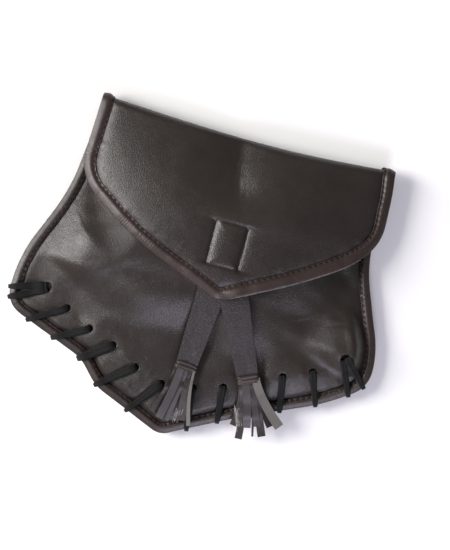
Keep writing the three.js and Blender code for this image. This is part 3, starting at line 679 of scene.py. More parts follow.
def sheet(name, grid, thickness, *materials):
    """A sheet of that thickness with its middle on the places of a grid."""
    rows, columns = grid.shape[:2]
    a = (np.arange(rows - 1)[:, None] * columns + np.arange(columns - 1)[None]).ravel()
    faces = np.stack([a, a + columns, a + columns + 1, a + 1], axis=1)
    piece = new_piece(name, grid, faces, *materials)
    thicken(piece, thickness)
    return piece


def note(mesh, name, values, kind="FLOAT"):
    """Keeps one value for each point of the mesh, for its material or its nodes."""
    data = mesh.attributes.new(name, kind, "POINT").data
    key = "vector" if kind == "FLOAT_VECTOR" else "value"
    data.foreach_set(key, np.asarray(values, np.float32).ravel())


def sweep(sections):
    """Points and faces of closed sections carried along, with both ends filled."""
    count, sides = sections.shape[:2]
    i, j = np.meshgrid(np.arange(count - 1), np.arange(sides), indexing="ij")
    a, b = (i * sides + j).ravel(), (i * sides + (j + 1) % sides).ravel()
    faces = np.stack([a, b, b + sides, a + sides], axis=1).tolist()
    faces.append(list(range(sides - 1, -1, -1)))
    faces.append([(count - 1) * sides + k for k in range(sides)])
    return sections.reshape(-1, 3), faces


# ------------------------------------------------------------------- camera and lights

# The pouch is seen from straight above, turned a little against the edges of the view.
VIEW_TURN = math.radians(15)
VIEW_CENTRE = np.array([10.7, -83.2, 12])
VIEW_HEIGHT = 319
CAMERA_DISTANCE = 1200
SENSOR = 36
RIGHT = np.array([math.cos(VIEW_TURN), math.sin(VIEW_TURN), 0])
UP = np.array([-math.sin(VIEW_TURN), math.cos(VIEW_TURN), 0])
ABOVE = np.array([0, 0, 1])

# Lights: metres to the right, up and above as seen in the view, then their width, height,
# radiance and color. A wide weak one lies round each strong one.
KEY_PLACE, LOW_PLACE = (-1.15, 0.32, 0.82), (0.15, -1.15, 0.95)
SOFTBOXES = {
    "key_light": (KEY_PLACE, 0.7, 1.0, 14.3, (1, 0.98, 0.968)),
    "key_glow": (KEY_PLACE, 1.1, 1.3, 1.5, (1, 0.98, 0.97)),
    "low_light": (LOW_PLACE, 0.6, 0.55, 10.5, (0.86, 0.83, 1)),
    "low_glow": (LOW_PLACE, 1.0, 0.85, 1.8, (0.86, 0.83, 1)),
}
ROOM_LIGHT, ROOM_COLOR = 0.23, (1, 0.99, 0.98, 1)

FLOOR_HALF = 4  # in metres
FLOOR_GAP = 0.05  # the floor lies a hair below the pouch
FLOOR_COLOR = (0.86, 0.86, 0.86, 1)


def make_camera():
    data = bpy.data.cameras.new("camera")
    data.sensor_width = SENSOR
    data.lens = SENSOR * CAMERA_DISTANCE / VIEW_HEIGHT
    data.clip_start, data.clip_end = 0.05, 20
    camera = linked("camera", data)
    camera.location = Vector((VIEW_CENTRE + ABOVE * CAMERA_DISTANCE) * MM + PLACE)
    camera.rotation_euler = (0, 0, VIEW_TURN)
    bpy.context.scene.camera = camera


def make_lights():
    world = bpy.data.worlds.new("room")
    world.use_nodes = True
    background = world.node_tree.nodes["Background"]
    background.inputs["Color"].default_value = ROOM_COLOR
    background.inputs["Strength"].default_value = ROOM_LIGHT
    bpy.context.scene.world = world
    bpy.context.scene.view_settings.view_transform = "Standard"
    for name, ((right, up, above), width, height, radiance, color) in SOFTBOXES.items():
        data = bpy.data.lights.new(name, "AREA")
        data.shape = "RECTANGLE"
        data.size, data.size_y = width, height
        data.energy = radiance * math.pi * width * height
        data.color = color
        light = linked(name, data)
        offset = RIGHT * right + UP * up + ABOVE * above
        light.location = Vector(VIEW_CENTRE * MM + PLACE + offset)
        light.rotation_euler = Vector(-offset).to_track_quat("-Z", "Y").to_euler()


def make_floor():
    low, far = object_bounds()[0].z - FLOOR_GAP * MM, FLOOR_HALF
    mesh = bpy.data.meshes.new("floor")
    corners = [(-far, -far, low), (far, -far, low), (far, far, low), (-far, far, low)]
    mesh.from_pydata(corners, [], [(0, 1, 2, 3)])
    new_tree("pale_floor")
    finish = dressed("pale_floor", {"Base Color": FLOOR_COLOR, "Roughness": 0.9})
    mesh.materials.append(finish)
    linked("floor", mesh)


# --------------------------------------------------------------------------- finishes

def new_tree(name):
    """The nodes of a new material of that name."""
    material = bpy.data.materials.new(name)
    material.use_nodes = True
    return material.node_tree


def feed(tree, node, inputs):
    """Gives a node its inputs. Each is a value or another node's output."""
    for key, value in inputs.items():
        if isinstance(value, bpy.types.NodeSocket):
            tree.links.new(value, node.inputs[key])
        else:
            node.inputs[key].default_value = value


def dressed(name, inputs):
    """The material of that name, with these inputs given to its shader."""
    material = bpy.data.materials[name]
    feed(material.node_tree, material.node_tree.nodes["Principled BSDF"], inputs)
    return material


def add(tree, kind, inputs=None, output=0, **settings):
    """An output of a new node with these inputs and settings."""
    node = tree.nodes.new(kind)
    for key, value in settings.items():
        setattr(node, key, value)
    feed(tree, node, inputs or {})
    return node.outputs[output]


def maths(tree, operation, a, b=0.0):
    return add(tree, "ShaderNodeMath", {0: a, 1: b}, operation=operation)


def times(tree, a, b):
    return maths(tree, "MULTIPLY", a, b)


def sine(tree, phase):
    return maths(tree, "SINE", phase)


def turns(tree, length, pitch_mm):
    """The phase of a pattern that repeats at every pitch along a length."""
    return times(tree, length, 2 * math.pi / (pitch_mm * MM))


def mapped(tree, value, low, high, to_low, to_high):
    return add(tree, "ShaderNodeMapRange", {
        0: value, 1: low, 2: high, 3: to_low, 4: to_high})


def speckle(tree, place, size_mm, detail=2.0, roughness=0.5, output="Fac"):
    """Cloudy noise with features about that size."""
    return add(tree, "ShaderNodeTexNoise", {
        "Vector": place, "Scale": 1 / (size_mm * MM), "Detail": detail,
        "Roughness": roughness}, output)


def mixed_color(tree, factor, dark, light):
    dark, light = [
        color if isinstance(color, bpy.types.NodeSocket) else (*color, 1)
        for color in (dark, light)]
    return add(tree, "ShaderNodeMix", {0: factor, 6: dark, 7: light}, 2, data_type="RGBA")


def bumped(tree, height, distance_mm, below=None):
    inputs = {"Height": height, "Distance": distance_mm * MM, "Strength": 1.0}
    if below is not None:
        inputs["Normal"] = below
    return add(tree, "ShaderNodeBump", inputs)


def object_place(tree):
    return add(tree, "ShaderNodeTexCoord", output="Object")


def value_of(tree, name, output="Fac"):
    return add(tree, "ShaderNodeAttribute", output=output, attribute_name=name)


def parts_of(tree, place):
    return [add(tree, "ShaderNodeSeparateXYZ", {0: place}, axis) for axis in (0, 1)]


def leather(name, dark, light, smooth, rough, grain_mm, grain_depth, wrinkled=False, pale=None):
    """Imitation leather: a fine pebbled grain under a thin even gloss."""
    tree = new_tree(name)
    place = object_place(tree)
    wobble = speckle(tree, place, 1.4, 1.0, output="Color")
    bent = add(tree, "ShaderNodeVectorMath", {0: wobble, 1: (0.0005,) * 3}, operation="MULTIPLY")
    at = add(tree, "ShaderNodeVectorMath", {0: place, 1: bent})
    cells = add(tree, "ShaderNodeTexVoronoi", {
        "Vector": at, "Scale": 1 / (grain_mm * MM)}, "Distance", feature="DISTANCE_TO_EDGE")
    pebbles = mapped(tree, cells, 0, 0.32, 0, 1)
    fine = speckle(tree, place, 0.35, 2)
    uneven = speckle(tree, place, 4.5, 3)

    tone = mapped(tree, speckle(tree, place, 34, 3), 0.3, 0.7, 0.15, 0.85)
    in_grain = times(tree, tone, mapped(tree, pebbles, 0, 1, 0.75, 1))
    color = mixed_color(tree, in_grain, dark, light)
    # Painted sheen: the color is drawn towards a pale lavender where a strip would reflect the
    # cool low light.
    if pale:
        color = mixed_color(tree, value_of(tree, "pale"), color, pale)
    sheen = maths(tree, "ADD", times(tree, uneven, 0.6), times(tree, fine, 0.4))

    normal = bumped(tree, uneven, 0.1)
    normal = bumped(tree, pebbles, grain_depth, normal)
    normal = bumped(tree, fine, 0.02, normal)
    if wrinkled:
        phase = maths(tree, "ADD", turns(tree, value_of(tree, "along"), 1.7),
                      times(tree, uneven, 14))
        depth = mapped(tree, speckle(tree, place, 16, 1), 0.45, 0.62, 0.1, 1)
        normal = bumped(tree, times(tree, sine(tree, phase), depth), 0.035, normal)
    return dressed(name, {
        "Base Color": color, "Roughness": mapped(tree, sheen, 0.3, 0.7, smooth, rough),
        "Normal": normal, "Specular IOR Level": 0.5})


def lace_cord(name):
    """Round braided cord, matte and a little furry."""
    tree = new_tree(name)
    along = turns(tree, value_of(tree, "along"), 2.6)
    out = parts_of(tree, value_of(tree, "around", "Vector"))
    turn = times(tree, maths(tree, "ARCTAN2", out[1], out[0]), 4.0)
    one, other = [sine(tree, maths(tree, way, along, turn)) for way in ("ADD", "SUBTRACT")]
    braid = maths(tree, "MAXIMUM", one, other)
    fibres = speckle(tree, object_place(tree), 0.28, 3, 0.7)
    lit = times(tree, mapped(tree, braid, -0.6, 1, 0.45, 0.75), fibres)
    return dressed(name, {
        "Base Color": mixed_color(tree, lit, (0.003, 0.0032, 0.0032), (0.0112, 0.0116, 0.0115)),
        "Normal": bumped(tree, fibres, 0.1, bumped(tree, braid, 0.03)), "Roughness": 0.8,
        "Sheen Weight": 0.04, "Sheen Roughness": 0.5, "Specular IOR Level": 0.2})


def knitted_backing(name):
    """Fine knitted cloth, glued to the inside of the leather."""
    tree = new_tree(name)
    place = object_place(tree)
    loops = [sine(tree, turns(tree, part, 0.9)) for part in parts_of(tree, place)]
    knit = times(tree, *loops)
    fluff = speckle(tree, place, 0.5, 3)
    lit = mapped(tree, knit, -1, 1, 0.2, 1)
    return dressed(name, {
        "Base Color": mixed_color(tree, lit, (0.07, 0.065, 0.06), (0.17, 0.16, 0.15)),
        "Normal": bumped(tree, fluff, 0.08, bumped(tree, knit, 0.08)), "Roughness": 0.85})


def cut_edge(name, dark=(0.075, 0.07, 0.064), light=(0.19, 0.18, 0.165)):
    """Raw edge of a strip, with the cloth of its inner side showing."""
    tree = new_tree(name)
    frays = mapped(tree, speckle(tree, object_place(tree), 1.2, 3), 0.35, 0.6, 0, 1)
    return dressed(name, {
        "Base Color": mixed_color(tree, frays, dark, light), "Roughness": 0.7})


def fibrous(name, size_mm, detail, spread, dark, light, relief_mm, inputs):
    """Coarse fibres or hooks that stand out of a plain color."""
    tree = new_tree(name)
    fibres = speckle(tree, object_place(tree), size_mm, detail, spread)
    return dressed(name, {
        "Base Color": mixed_color(tree, fibres, dark, light),
        "Normal": bumped(tree, fibres, relief_mm), **inputs})


def hook_tape(name):
    return fibrous(name, 0.6, 3, 0.7, (0.008,) * 3, (0.05,) * 3, 0.4, {"Roughness": 0.75})


def sewing_thread(name):
    return fibrous(name, 0.3, 1, 0.5, (0.008, 0.004, 0.004), (0.02, 0.012, 0.011), 0.06,
                   {"Roughness": 0.85, "Specular IOR Level": 0.2})


# ------------------------------------------------------------------- pocket and flap

PUNCH_SIDES = 24
PUNCH_ENDS = (SEAM_Z - 10, SEAM_Z + 16)
FOLD_RADIUS = 4.0  # first guess of it
ROWS_OF_FRONT, COLUMNS_OF_FRONT = 171, 211
ROWS_OF_BACK, ROWS_OF_FOLD, ROWS_OF_FLAP, COLUMNS_OF_BACK = 86, 21, 101, 201


def pocket_grid(top_y, dip, down, across):
    """Places over the pocket below its upper edge, which dips in the middle."""
    first, last = both_ends(pocket_line[:, 1] < top_y)

    def top(s):
        line = blend(pocket_line[first], pocket_line[last], s[:, None])
        line[:, 1] -= dip * (1 - (2 * s - 1) ** 2)
        return line

    return area_below(top, pocket_line, (first, last), pocket_corners, down, across)


def punched(piece):
    """Cuts the holes for the lace through a panel."""
    around = all_round(PUNCH_SIDES)
    points, faces = [], []
    holes = [(place, HOLE_RADIUS) for place in HOLES[2:-2]]
    holes += [(place, END_HOLE_RADIUS) for place in END_HOLES]
    for (x, y), radius in holes:
        rim = np.stack([x + radius * np.cos(around), y + radius * np.sin(around)], axis=1)
        more, sides = sweep(np.array([level(rim, z) for z in PUNCH_ENDS]))
        faces += [[len(points) + k for k in face] for face in sides]
        points += more.tolist()
    punch = new_piece("punch", points, faces)
    cut = piece.modifiers.new("holes", "BOOLEAN")
    cut.operation = "DIFFERENCE"
    cut.object = punch
    cut.solver = "EXACT"
    baked(piece)
    bpy.data.objects.remove(punch)
    return piece


def make_front_panel(outside, lining):
    down, across = shares(ROWS_OF_FRONT), shares(COLUMNS_OF_FRONT)
    grid = raised(pocket_grid(MOUTH_Y, MOUTH_DIP, down, across), front_surface)
    piece = sheet("front", grid, SHEET, outside, lining)
    finished(punched(piece), "leather", "front_panel")


def fold_at(x):
    """The fold at X: its centre, its radius, its end's lean and where the flap begins."""
    reach = np.where(x > FOLD_LOWEST_X, 72, 100)
    sag = FOLD_SAG * np.cos(np.pi / 2 * np.minimum(1, np.abs(x - FOLD_LOWEST_X) / reach))
    radius, lean = np.full(np.shape(x), FOLD_RADIUS), np.zeros(np.shape(x))
    for _ in range(5):
        centre = -radius - SHEET / 2 - sag
        meets = centre + radius * np.sin(lean)
        height = flap_surface(x, meets)
        lean = np.arctan(np.clip((flap_surface(x, meets - 3) - height) / 3, 0, 0.6))
        radius = (height - BACK_EDGE_Z) / (1 + np.cos(lean))
    return centre, radius, lean, meets


def back_surface(x, y):
    """Middle of the back with its dents and puckers."""
    z = back_z(x, y) - 0.5 * lacing_dents(x, y)
    gap, _, along = beside(pocket_rim, x, y)
    puckers = seam_puckers(gap - BINDING_WIDTH, along * POCKET_EDGE_LENGTH, 27)
    z = z - 0.8 * puckers * smoothstep(gap, 5, 7)
    still = smoothstep(z, 0.7, 3)
    return z + still * (0.25 * unevenness(x, y, 16, 8) + 0.06 * unevenness(x, y, 6, 9))


def back_and_flap_grid():
    """One sheet: the back from its bottom edge up, over the fold, and down the flap."""
    across = shares(COLUMNS_OF_BACK)
    back = pocket_grid(BACK_TOP_Y, BACK_TOP_DIP, shares(ROWS_OF_BACK), across)
    back = raised(back, back_surface)[::-1]
    first, last = both_ends(flap_line[:, 1] < fold_at(flap_line[:, 0])[-1])

    def front_x(s):
        return blend(flap_line[first, 0], flap_line[last, 0], s)

    def top(s):
        return np.stack([front_x(s), fold_at(front_x(s))[-1]], axis=-1)

    fold = []
    for share in shares(ROWS_OF_FOLD)[:-1]:
        x = blend(back[-1, :, 0], front_x(across), smoothstep(share, 0, 0.45))
        centre, radius, lean, _ = fold_at(x)
        angle = np.pi - share * (np.pi - lean)
        y = centre + radius * np.sin(angle)
        fold.append(np.stack([x, y, BACK_EDGE_Z + radius * (1 + np.cos(angle))], axis=1))
    front = area_below(top, flap_line, (first, last), flap_corners, shares(ROWS_OF_FLAP), across)
    front = raised(front, flap_surface)
    return np.concatenate([back, np.array(fold), front]), len(back) - 1


def make_back_and_flap(outside, lining):
    grid, back_top = back_and_flap_grid()
    piece = sheet("back_and_flap", grid, SHEET, outside, lining)
    finished(punched(piece), "leather", "back_panel", "flap")
    return grid, back_top


# --------------------------------------------------------------------------- bindings

# Section of a folded binding from the edge inwards: distance in as a share of its width,
# and height as a share of half its thickness. Its stitches pull it down at one place.
ROLL = np.array([
    (0, 0), (0.008, 0.14), (0.03, 0.27), (0.07, 0.38), (0.14, 0.51), (0.22, 0.64),
    (0.3, 0.77), (0.38, 0.88), (0.46, 0.96), (0.53, 1.0), (0.6, 0.99), (0.66, 0.94),
    (0.71, 0.85), (0.76, 0.73), (0.81, 0.6), (0.86, 0.49), (0.9, 0.44), (0.94, 0.42),
    (0.975, 0.4), (1.0, 0.34),
])
STITCH_IN = 0.9
STITCH_PITCH, STITCH_LENGTH, THREAD_RADIUS = 3.4, 2.5, 0.27
STITCH_RISE, STITCH_SINK = 0.16, 0.45
DIP, DIP_IN, DIP_WIDTH = 0.26, STITCH_IN - 0.06, 0.1  # of each stitch, as shares
BODY_RIM, FLAP_RIM = 0.4, 0.3  # how high each binding stands at its edge
BODY_SEED, FLAP_SEED = 61, 71
BODY_BINDING_PLACES, FLAP_BINDING_PLACES = 760, 420
# The cut edge of a strip's lower half, which shows as a thin pale lip below the roll.
LIP = [(0.9, -0.86), (-0.7, -0.72), (-0.8, -0.5), (-0.7, -0.3), (0.9, -0.3)]

# Rows of stitches: places along each, and the way its stitches stand up there.
STITCH_ROWS = []


def binding(name, places, inward, up, half, wide, rim, curl, seed, material):
    """A strip folded round an edge, with the dips of its stitches along both sides.

    Its rim is how high it stands at the edge, as a share of half its thickness, and its
    curl is how steeply each place of it turns up towards the edge.
    """
    run = lengths(places)
    curl = np.asarray(curl).reshape(-1, 1)
    width = 1 + 0.03 * waver(run, 9, seed)
    swell = 1 + 0.05 * waver(run, 14, seed + 1) + 0.02 * waver(run, 4, seed + 2)
    places = places - inward * (0.2 * waver(run, 21, seed + 3))[:, None]
    inner = half - BINDING
    distance = np.concatenate([ROLL[::-1, 0], ROLL[1:, 0], [1] * 4]) * wide
    distance[-3:-1] = BINDING
    raised_by = rim * np.minimum(1, ROLL[:, 1] / ROLL[2, 1]) * (1 - ROLL[:, 1])
    section = ROLL[:, 1] + raised_by
    share = np.concatenate([section[::-1], -section[1:]]) * half
    height = np.concatenate([share, [-inner, -inner, inner, inner]])
    outer = np.arange(len(distance)) < 2 * len(ROLL) - 1
    dip = (0.5 + 0.5 * np.cos(2 * np.pi * run / STITCH_PITCH)) ** 2
    near = np.exp(-((distance / wide - DIP_IN) / DIP_WIDTH) ** 2)
    pull = 1 - DIP * dip[:, None] * near[None]
    d = distance[None] * np.where(outer[None], width[:, None], 1)
    h = height[None] * np.where(outer[None], swell[:, None] * pull, 1)
    h = h + np.maximum(wide - d, 0) * curl
    sections = places[:, None] + inward[:, None] * d[..., None] + up[:, None] * h[..., None]
    piece = new_piece(name, *sweep(sections), material)
    note(piece.data, "along", np.repeat(run, sections.shape[1]) * MM)
    for top in (1, -1):
        height = section[np.searchsorted(ROLL[:, 0], STITCH_IN)] * half + 0.1
        row = places + inward * STITCH_IN * wide + up * (top * height)
        row = row + up * ((1 - STITCH_IN) * wide * curl)
        STITCH_ROWS.append((row, up * top))
    return piece


def make_body_binding(material):
    first, last = both_ends(pocket_outline[:, 1] < BINDING_TOP_Y)
    line = evenly(pocket_outline[first:last + 1], BODY_BINDING_PLACES)
    way = unit(smoothed(np.gradient(line, axis=0), 2))
    inward = level(np.stack([-way[:, 1], way[:, 0]], axis=1), 0.0)
    piece = binding("body_edge", level(line, SEAM_Z), inward, facing(line, 1), BODY_ROLL,
                    BINDING_WIDTH, BODY_RIM, 0.0, BODY_SEED, material)
    finished(piece, "binding", "body_binding")


def make_flap_binding(material, grid, back_top):
    rim = [(row, 0) for row in range(back_top, len(grid))]
    rim += [(-1, column) for column in range(1, grid.shape[1])]
    rim += [(row, -1) for row in range(len(grid) - 2, back_top - 1, -1)]
    rows, columns = np.array(rim).T
    normals = unit(np.cross(np.gradient(grid, axis=0), np.gradient(grid, axis=1)))
    line, up = grid[rows, columns], normals[rows, columns]
    at = np.linspace(0, lengths(line)[-1], FLAP_BINDING_PLACES)
    line, up = [read_off(rows, lengths(line), at) for rows in (line, up)]
    line = smoothed(line, 3)
    way = unit(smoothed(np.gradient(line, axis=0), 2))
    up = unit(smoothed(up, 5))
    inward = unit(np.cross(up, way))
    up = np.cross(way, inward)
    curl = 0.42 * smoothstep(line[:, 0], 10, 20) * smoothstep(-line[:, 1], 44, 60)
    curl = curl + 0.12 * smoothstep(-line[:, 0], 70, 80) * (1 - smoothstep(-line[:, 1], 38, 56))
    piece = binding("flap_edge", line - inward * INSET, inward, up, FLAP_ROLL,
                    FLAP_BINDING_WIDTH, FLAP_RIM, curl, FLAP_SEED, material)
    finished(piece, "binding", "flap_binding")

    start, end = nearest(line[:, :2], FLAP_POINT) - 12, len(line) - 90
    out = INSET + 0.15 * waver(lengths(line), 8, 77)
    out = out - 1.1 * (1 - smoothstep(line[:, 0], line[start, 0], line[start, 0] + 26))
    rise = (curl * FLAP_BINDING_WIDTH)[:, None]
    sections = np.stack([
        line + inward * (d - out)[:, None] + up * (h * FLAP_ROLL + rise) for d, h in LIP], axis=1)
    lip = new_piece("flap_cut_edge", *sweep(sections[start:end]), cut_edge("pale_cut_edge"))
    finished(lip, "backing")


# -------------------------------------------------------------------------- node trees

def node_group(name, **inputs):
    """A tree of geometry nodes. Each input has a kind and a first value."""
    tree = bpy.data.node_groups.new(name, "GeometryNodeTree")
    sockets = [("Geometry", "INPUT", "Geometry", None)]
    sockets += [(label, "INPUT", kind, value) for label, (kind, value) in inputs.items()]
    for label, way, kind, value in sockets + [("Geometry", "OUTPUT", "Geometry", None)]:
        socket = tree.interface.new_socket(label, in_out=way, socket_type="NodeSocket" + kind)
        if value is not None:
            socket.default_value = value
    return tree, tree.nodes.new("NodeGroupInput").outputs


def close_group(tree, geometry, material):
    """Ends a tree: instances made real, shaded smooth, with the given finish."""
    real = add(tree, "GeometryNodeRealizeInstances", {0: geometry})
    smooth = add(tree, "GeometryNodeSetShadeSmooth", {0: real})
    final = add(tree, "GeometryNodeSetMaterial", {0: smooth, "Material": material})
    feed(tree, tree.nodes.new("NodeGroupOutput"), {0: final})
    return tree


def line_piece(name, lines, **notes):
    """Plain lines in one mesh, with values noted on their points."""
    starts = np.cumsum([0] + [len(line) for line in lines])
    edges = [(k, k + 1) for start, end in zip(starts, starts[1:]) for k in range(start, end - 1)]
    mesh = bpy.data.meshes.new(name)
    mesh.from_pydata(placed(np.concatenate(lines)), edges, [])
    for key, values in notes.items():
        values = np.concatenate(values)
        note(mesh, key, values, "FLOAT_VECTOR" if values.ndim == 2 else "FLOAT")
    return linked(name, mesh)


def grown(piece, tree, **values):
    """The plain mesh that a tree makes from a piece. Values are the tree's inputs."""
    modifier = piece.modifiers.new(tree.name, "NODES")
    modifier.node_group = tree
    for item in tree.interface.items_tree:
        if item.in_out == "INPUT" and item.name in values:
            modifier[item.identifier] = values[item.name]
    return baked(piece)


def named(tree, name, kind="FLOAT"):
    return add(tree, "GeometryNodeInputNamedAttribute", {"Name": name}, data_type=kind)


def vector(tree, x=0.0, y=0.0, z=0.0):
    return add(tree, "ShaderNodeCombineXYZ", {0: x, 1: y, 2: z})


def ring_line(tree, sides, radius):
    return add(tree, "GeometryNodeCurvePrimitiveCircle", {
        "Resolution": sides, "Radius": radius})


def faced_line(tree, geometry):
    """The noted lines as curves that face the way noted on them."""
    line = add(tree, "GeometryNodeMeshToCurve", {0: geometry})
    return add(tree, "GeometryNodeSetCurveNormal", {
        0: line, "Normal": named(tree, "face", "FLOAT_VECTOR")}, mode="FREE")


def stitching_tree():
    """A bent piece of thread at every pitch along a seam, its ends sunk in the leather."""
    tree, given = node_group(
        "row_of_stitches", pitch=("Float", 0.003), stitch_length=("Float", 0.0023),
        thread_radius=("Float", 0.0003), rise=("Float", 0.0004), sink=("Float", 0.0005),
        seed=("Int", 1), thread=("Material", None))
    seam = add(tree, "GeometryNodeMeshToCurve", {0: given[0]})
    marks = add(tree, "GeometryNodeResampleCurve", {0: seam, "Length": given["pitch"]},
                mode="LENGTH")
    half = times(tree, given["stitch_length"], 0.5)
    sunk = times(tree, given["sink"], -1.0)
    bend = add(tree, "GeometryNodeCurveQuadraticBezier", {
        "Resolution": 6, "Start": vector(tree, times(tree, half, -1.0), 0.0, sunk),
        "Middle": vector(tree, 0.0, 0.0, times(tree, given["rise"], 2.0)),
        "End": vector(tree, half, 0.0, sunk)})
    stitch = add(tree, "GeometryNodeCurveToMesh", {
        0: bend, 1: ring_line(tree, 6, given["thread_radius"]), "Fill Caps": True})
    turn = add(tree, "FunctionNodeAxesToRotation", {
        0: add(tree, "GeometryNodeInputTangent"), 1: named(tree, "up", "FLOAT_VECTOR")},
        primary_axis="X", secondary_axis="Z")
    size = add(tree, "FunctionNodeRandomValue", {
        0: (0.9, 0.85, 0.8), 1: (1.06, 1.12, 1.15), "Seed": given["seed"]},
        data_type="FLOAT_VECTOR")
    row = add(tree, "GeometryNodeInstanceOnPoints", {
        "Points": marks, "Instance": stitch, "Rotation": turn, "Scale": size})
    return close_group(tree, row, given["thread"])


def cord_tree():
    """A soft cord along a line, pressed flat, with a groove along its outer side."""
    tree, given = node_group(
        "soft_cord", radius=("Float", 0.0017), sides=("Int", 20), flatness=("Float", 0.72),
        groove=("Float", 0.3), finish=("Material", None))
    line = add(tree, "GeometryNodeStoreNamedAttribute", {
        0: faced_line(tree, given[0]), "Name": "along",
        "Value": add(tree, "GeometryNodeSplineParameter", output="Length")})
    ring = ring_line(tree, given["sides"], given["radius"])
    out = add(tree, "GeometryNodeInputPosition")
    ring = add(tree, "GeometryNodeStoreNamedAttribute", {
        0: ring, "Name": "around", "Value": out}, data_type="FLOAT_VECTOR")
    high, aside = parts_of(tree, out)
    share = maths(tree, "DIVIDE", aside, times(tree, given["radius"], 0.36))
    dent = maths(tree, "EXPONENT", times(tree, times(tree, share, share), -1.0))
    dent = times(tree, dent, maths(tree, "GREATER_THAN", high, 0.0))
    dent = times(tree, dent, times(tree, given["radius"], given["groove"]))
    flat = maths(tree, "SUBTRACT", times(tree, high, given["flatness"]), dent)
    wide = maths(tree, "DIVIDE", aside, maths(tree, "POWER", given["flatness"], 0.6))
    ring = add(tree, "GeometryNodeSetPosition", {
        0: ring, "Position": vector(tree, flat, wide)})
    cord = add(tree, "GeometryNodeCurveToMesh", {
        0: line, 1: ring, "Scale": named(tree, "thickness"), "Fill Caps": True})
    return close_group(tree, cord, given["finish"])


def strips_tree():
    """Flat strips along lines, as wide as each line says and facing the way it says."""
    tree, given = node_group("cut_strips", finish=("Material", None))
    across = add(tree, "GeometryNodeCurvePrimitiveLine", {
        "Start": (0.0, -1.0, 0.0), "End": (0.0, 1.0, 0.0)})
    across = add(tree, "GeometryNodeResampleCurve", {0: across, "Count": 5})
    strips = add(tree, "GeometryNodeCurveToMesh", {
        0: faced_line(tree, given[0]), 1: across, "Scale": named(tree, "half_width")})
    return close_group(tree, strips, given["finish"])


# ----------------------------------------------------------------------------- lacing

LACE_HALF = 1.15  # half the lace's thickness where it lies flat
LACE_RADIUS = 1.42
LACE_ROOM, LACE_NEAR = 1.7, 3.5  # how far things stay above its middle, and how near it
LACE_PLACES, LACE_SIDES = 1700, 22
LOOSE_TURN, LOOSENESS = 9, 1.4


def height_at(height, place):
    return float(height(np.array([place[0]]), np.array([place[1]]))[0])


def lace_route():
    """The lace comes up through a hole, goes over the edge, and behind to the next.

    Each row is a place, the way across the lace there, and its thickness.
    """
    over = BODY_ROLL
    route = []
    way = unit(np.gradient(pocket_outline, axis=0))
    for i, (x, y, edge_x, edge_y) in enumerate(LACING):
        hole = np.array([x, y])
        out = unit(np.array([edge_x - x, edge_y - y]))
        offset = pocket_outline - hole
        aside = np.abs(offset[:, 0] * out[1] - offset[:, 1] * out[0])
        aside[offset @ out <= 0] = FAR
        crossing = int(np.argmin(aside))
        length = np.linalg.norm(offset[crossing])
        square = abs(way[crossing, 0] * out[1] - way[crossing, 1] * out[0])
        loose = LOOSENESS if i == LOOSE_TURN else 1
        lift = LACE_HALF * loose

        def put(place, z, thickness=1.0, turn=out):
            thickness = thickness * blend(1, loose, 0.85)
            route.append((*place, float(z), -turn[1], turn[0], thickness))

        def on_front(distance):
            return height_at(front_surface, hole + out * distance) + SHEET / 2 + lift

        ridge, rim, past = [length + d / square for d in (-2.8, -1.2, 0.6)]
        inner = length - (BINDING_WIDTH + 0.8) / square
        halfway = blend(2.8, inner, 0.5)
        under = height_at(back_surface, hole) - SHEET / 2 - LACE_HALF
        # Distance from the hole, height and thickness: up through the hole and over the
        # panel, over the edge, and back behind it.
        for distance, z, thickness in (
            (0, under - 0.3, 0.9), (0, SEAM_Z - 1, 0.8), (0.2, SEAM_Z + 2.2, 0.9),
            (0.7, on_front(2.4) - 0.5, 1.1), (2.8, on_front(2.4) + 0.3, 1.16),
            (halfway, on_front(halfway) + 0.3, 1.1),
            (inner, max(on_front(inner), SEAM_Z + 0.8 * over + lift), 1.04),
            (ridge, SEAM_Z + over + 0.9 * lift, 0.98),
            (rim, SEAM_Z + 0.75 * over + 0.9 * lift, 0.92),
            (past, SEAM_Z + 1.2, 0.74), (past + 0.1 / square, SEAM_Z - 0.6, 0.72),
            (rim, SEAM_Z - 0.75 * over - 1.1, 0.9), (ridge, SEAM_Z - over - 1.2, 0.95),
            (inner, SEAM_Z - over - 0.6, 1),
        ):
            put(hole + out * distance, z, thickness)
        if i + 1 < len(LACING):
            behind, following = hole + out * inner, np.array(LACING[i + 1][:2])
            for share, lower in ((0.5, 0), (0.88, 0.4)):
                place = blend(behind, following, share)
                z = height_at(back_surface, place) - SHEET / 2 - LACE_HALF - 0.15
                put(place, z - lower, 1, unit(following - behind))
        else:
            put(hole + out * 0.45 * length, SEAM_Z - over)
    return np.array(route)


def through(points, count=8):
    """A smooth line through points, with no loops where they are unevenly spaced."""
    points = np.vstack([2 * points[0] - points[1], points, 2 * points[-1] - points[-2]])
    line = []
    for k in range(1, len(points) - 2):
        p = points[k - 1:k + 3]
        gaps = np.linalg.norm(np.diff(p[:, :3], axis=0), axis=1)
        t = np.concatenate([[0], np.cumsum(np.sqrt(gaps))])
        for s in np.linspace(t[1], t[2], count, endpoint=False):
            a = [blend(p[i], p[i + 1], (s - t[i]) / (t[i + 1] - t[i])) for i in range(3)]
            b = [blend(a[i], a[i + 1], (s - t[i]) / (t[i + 2] - t[i])) for i in range(2)]
            line.append(blend(b[0], b[1], (s - t[1]) / (t[2] - t[1])))
    line.append(points[-2])
    return np.array(line)


lace_line = through(lace_route())
lace_on_top = lace_line[lace_line[:, 2] > SEAM_Z]


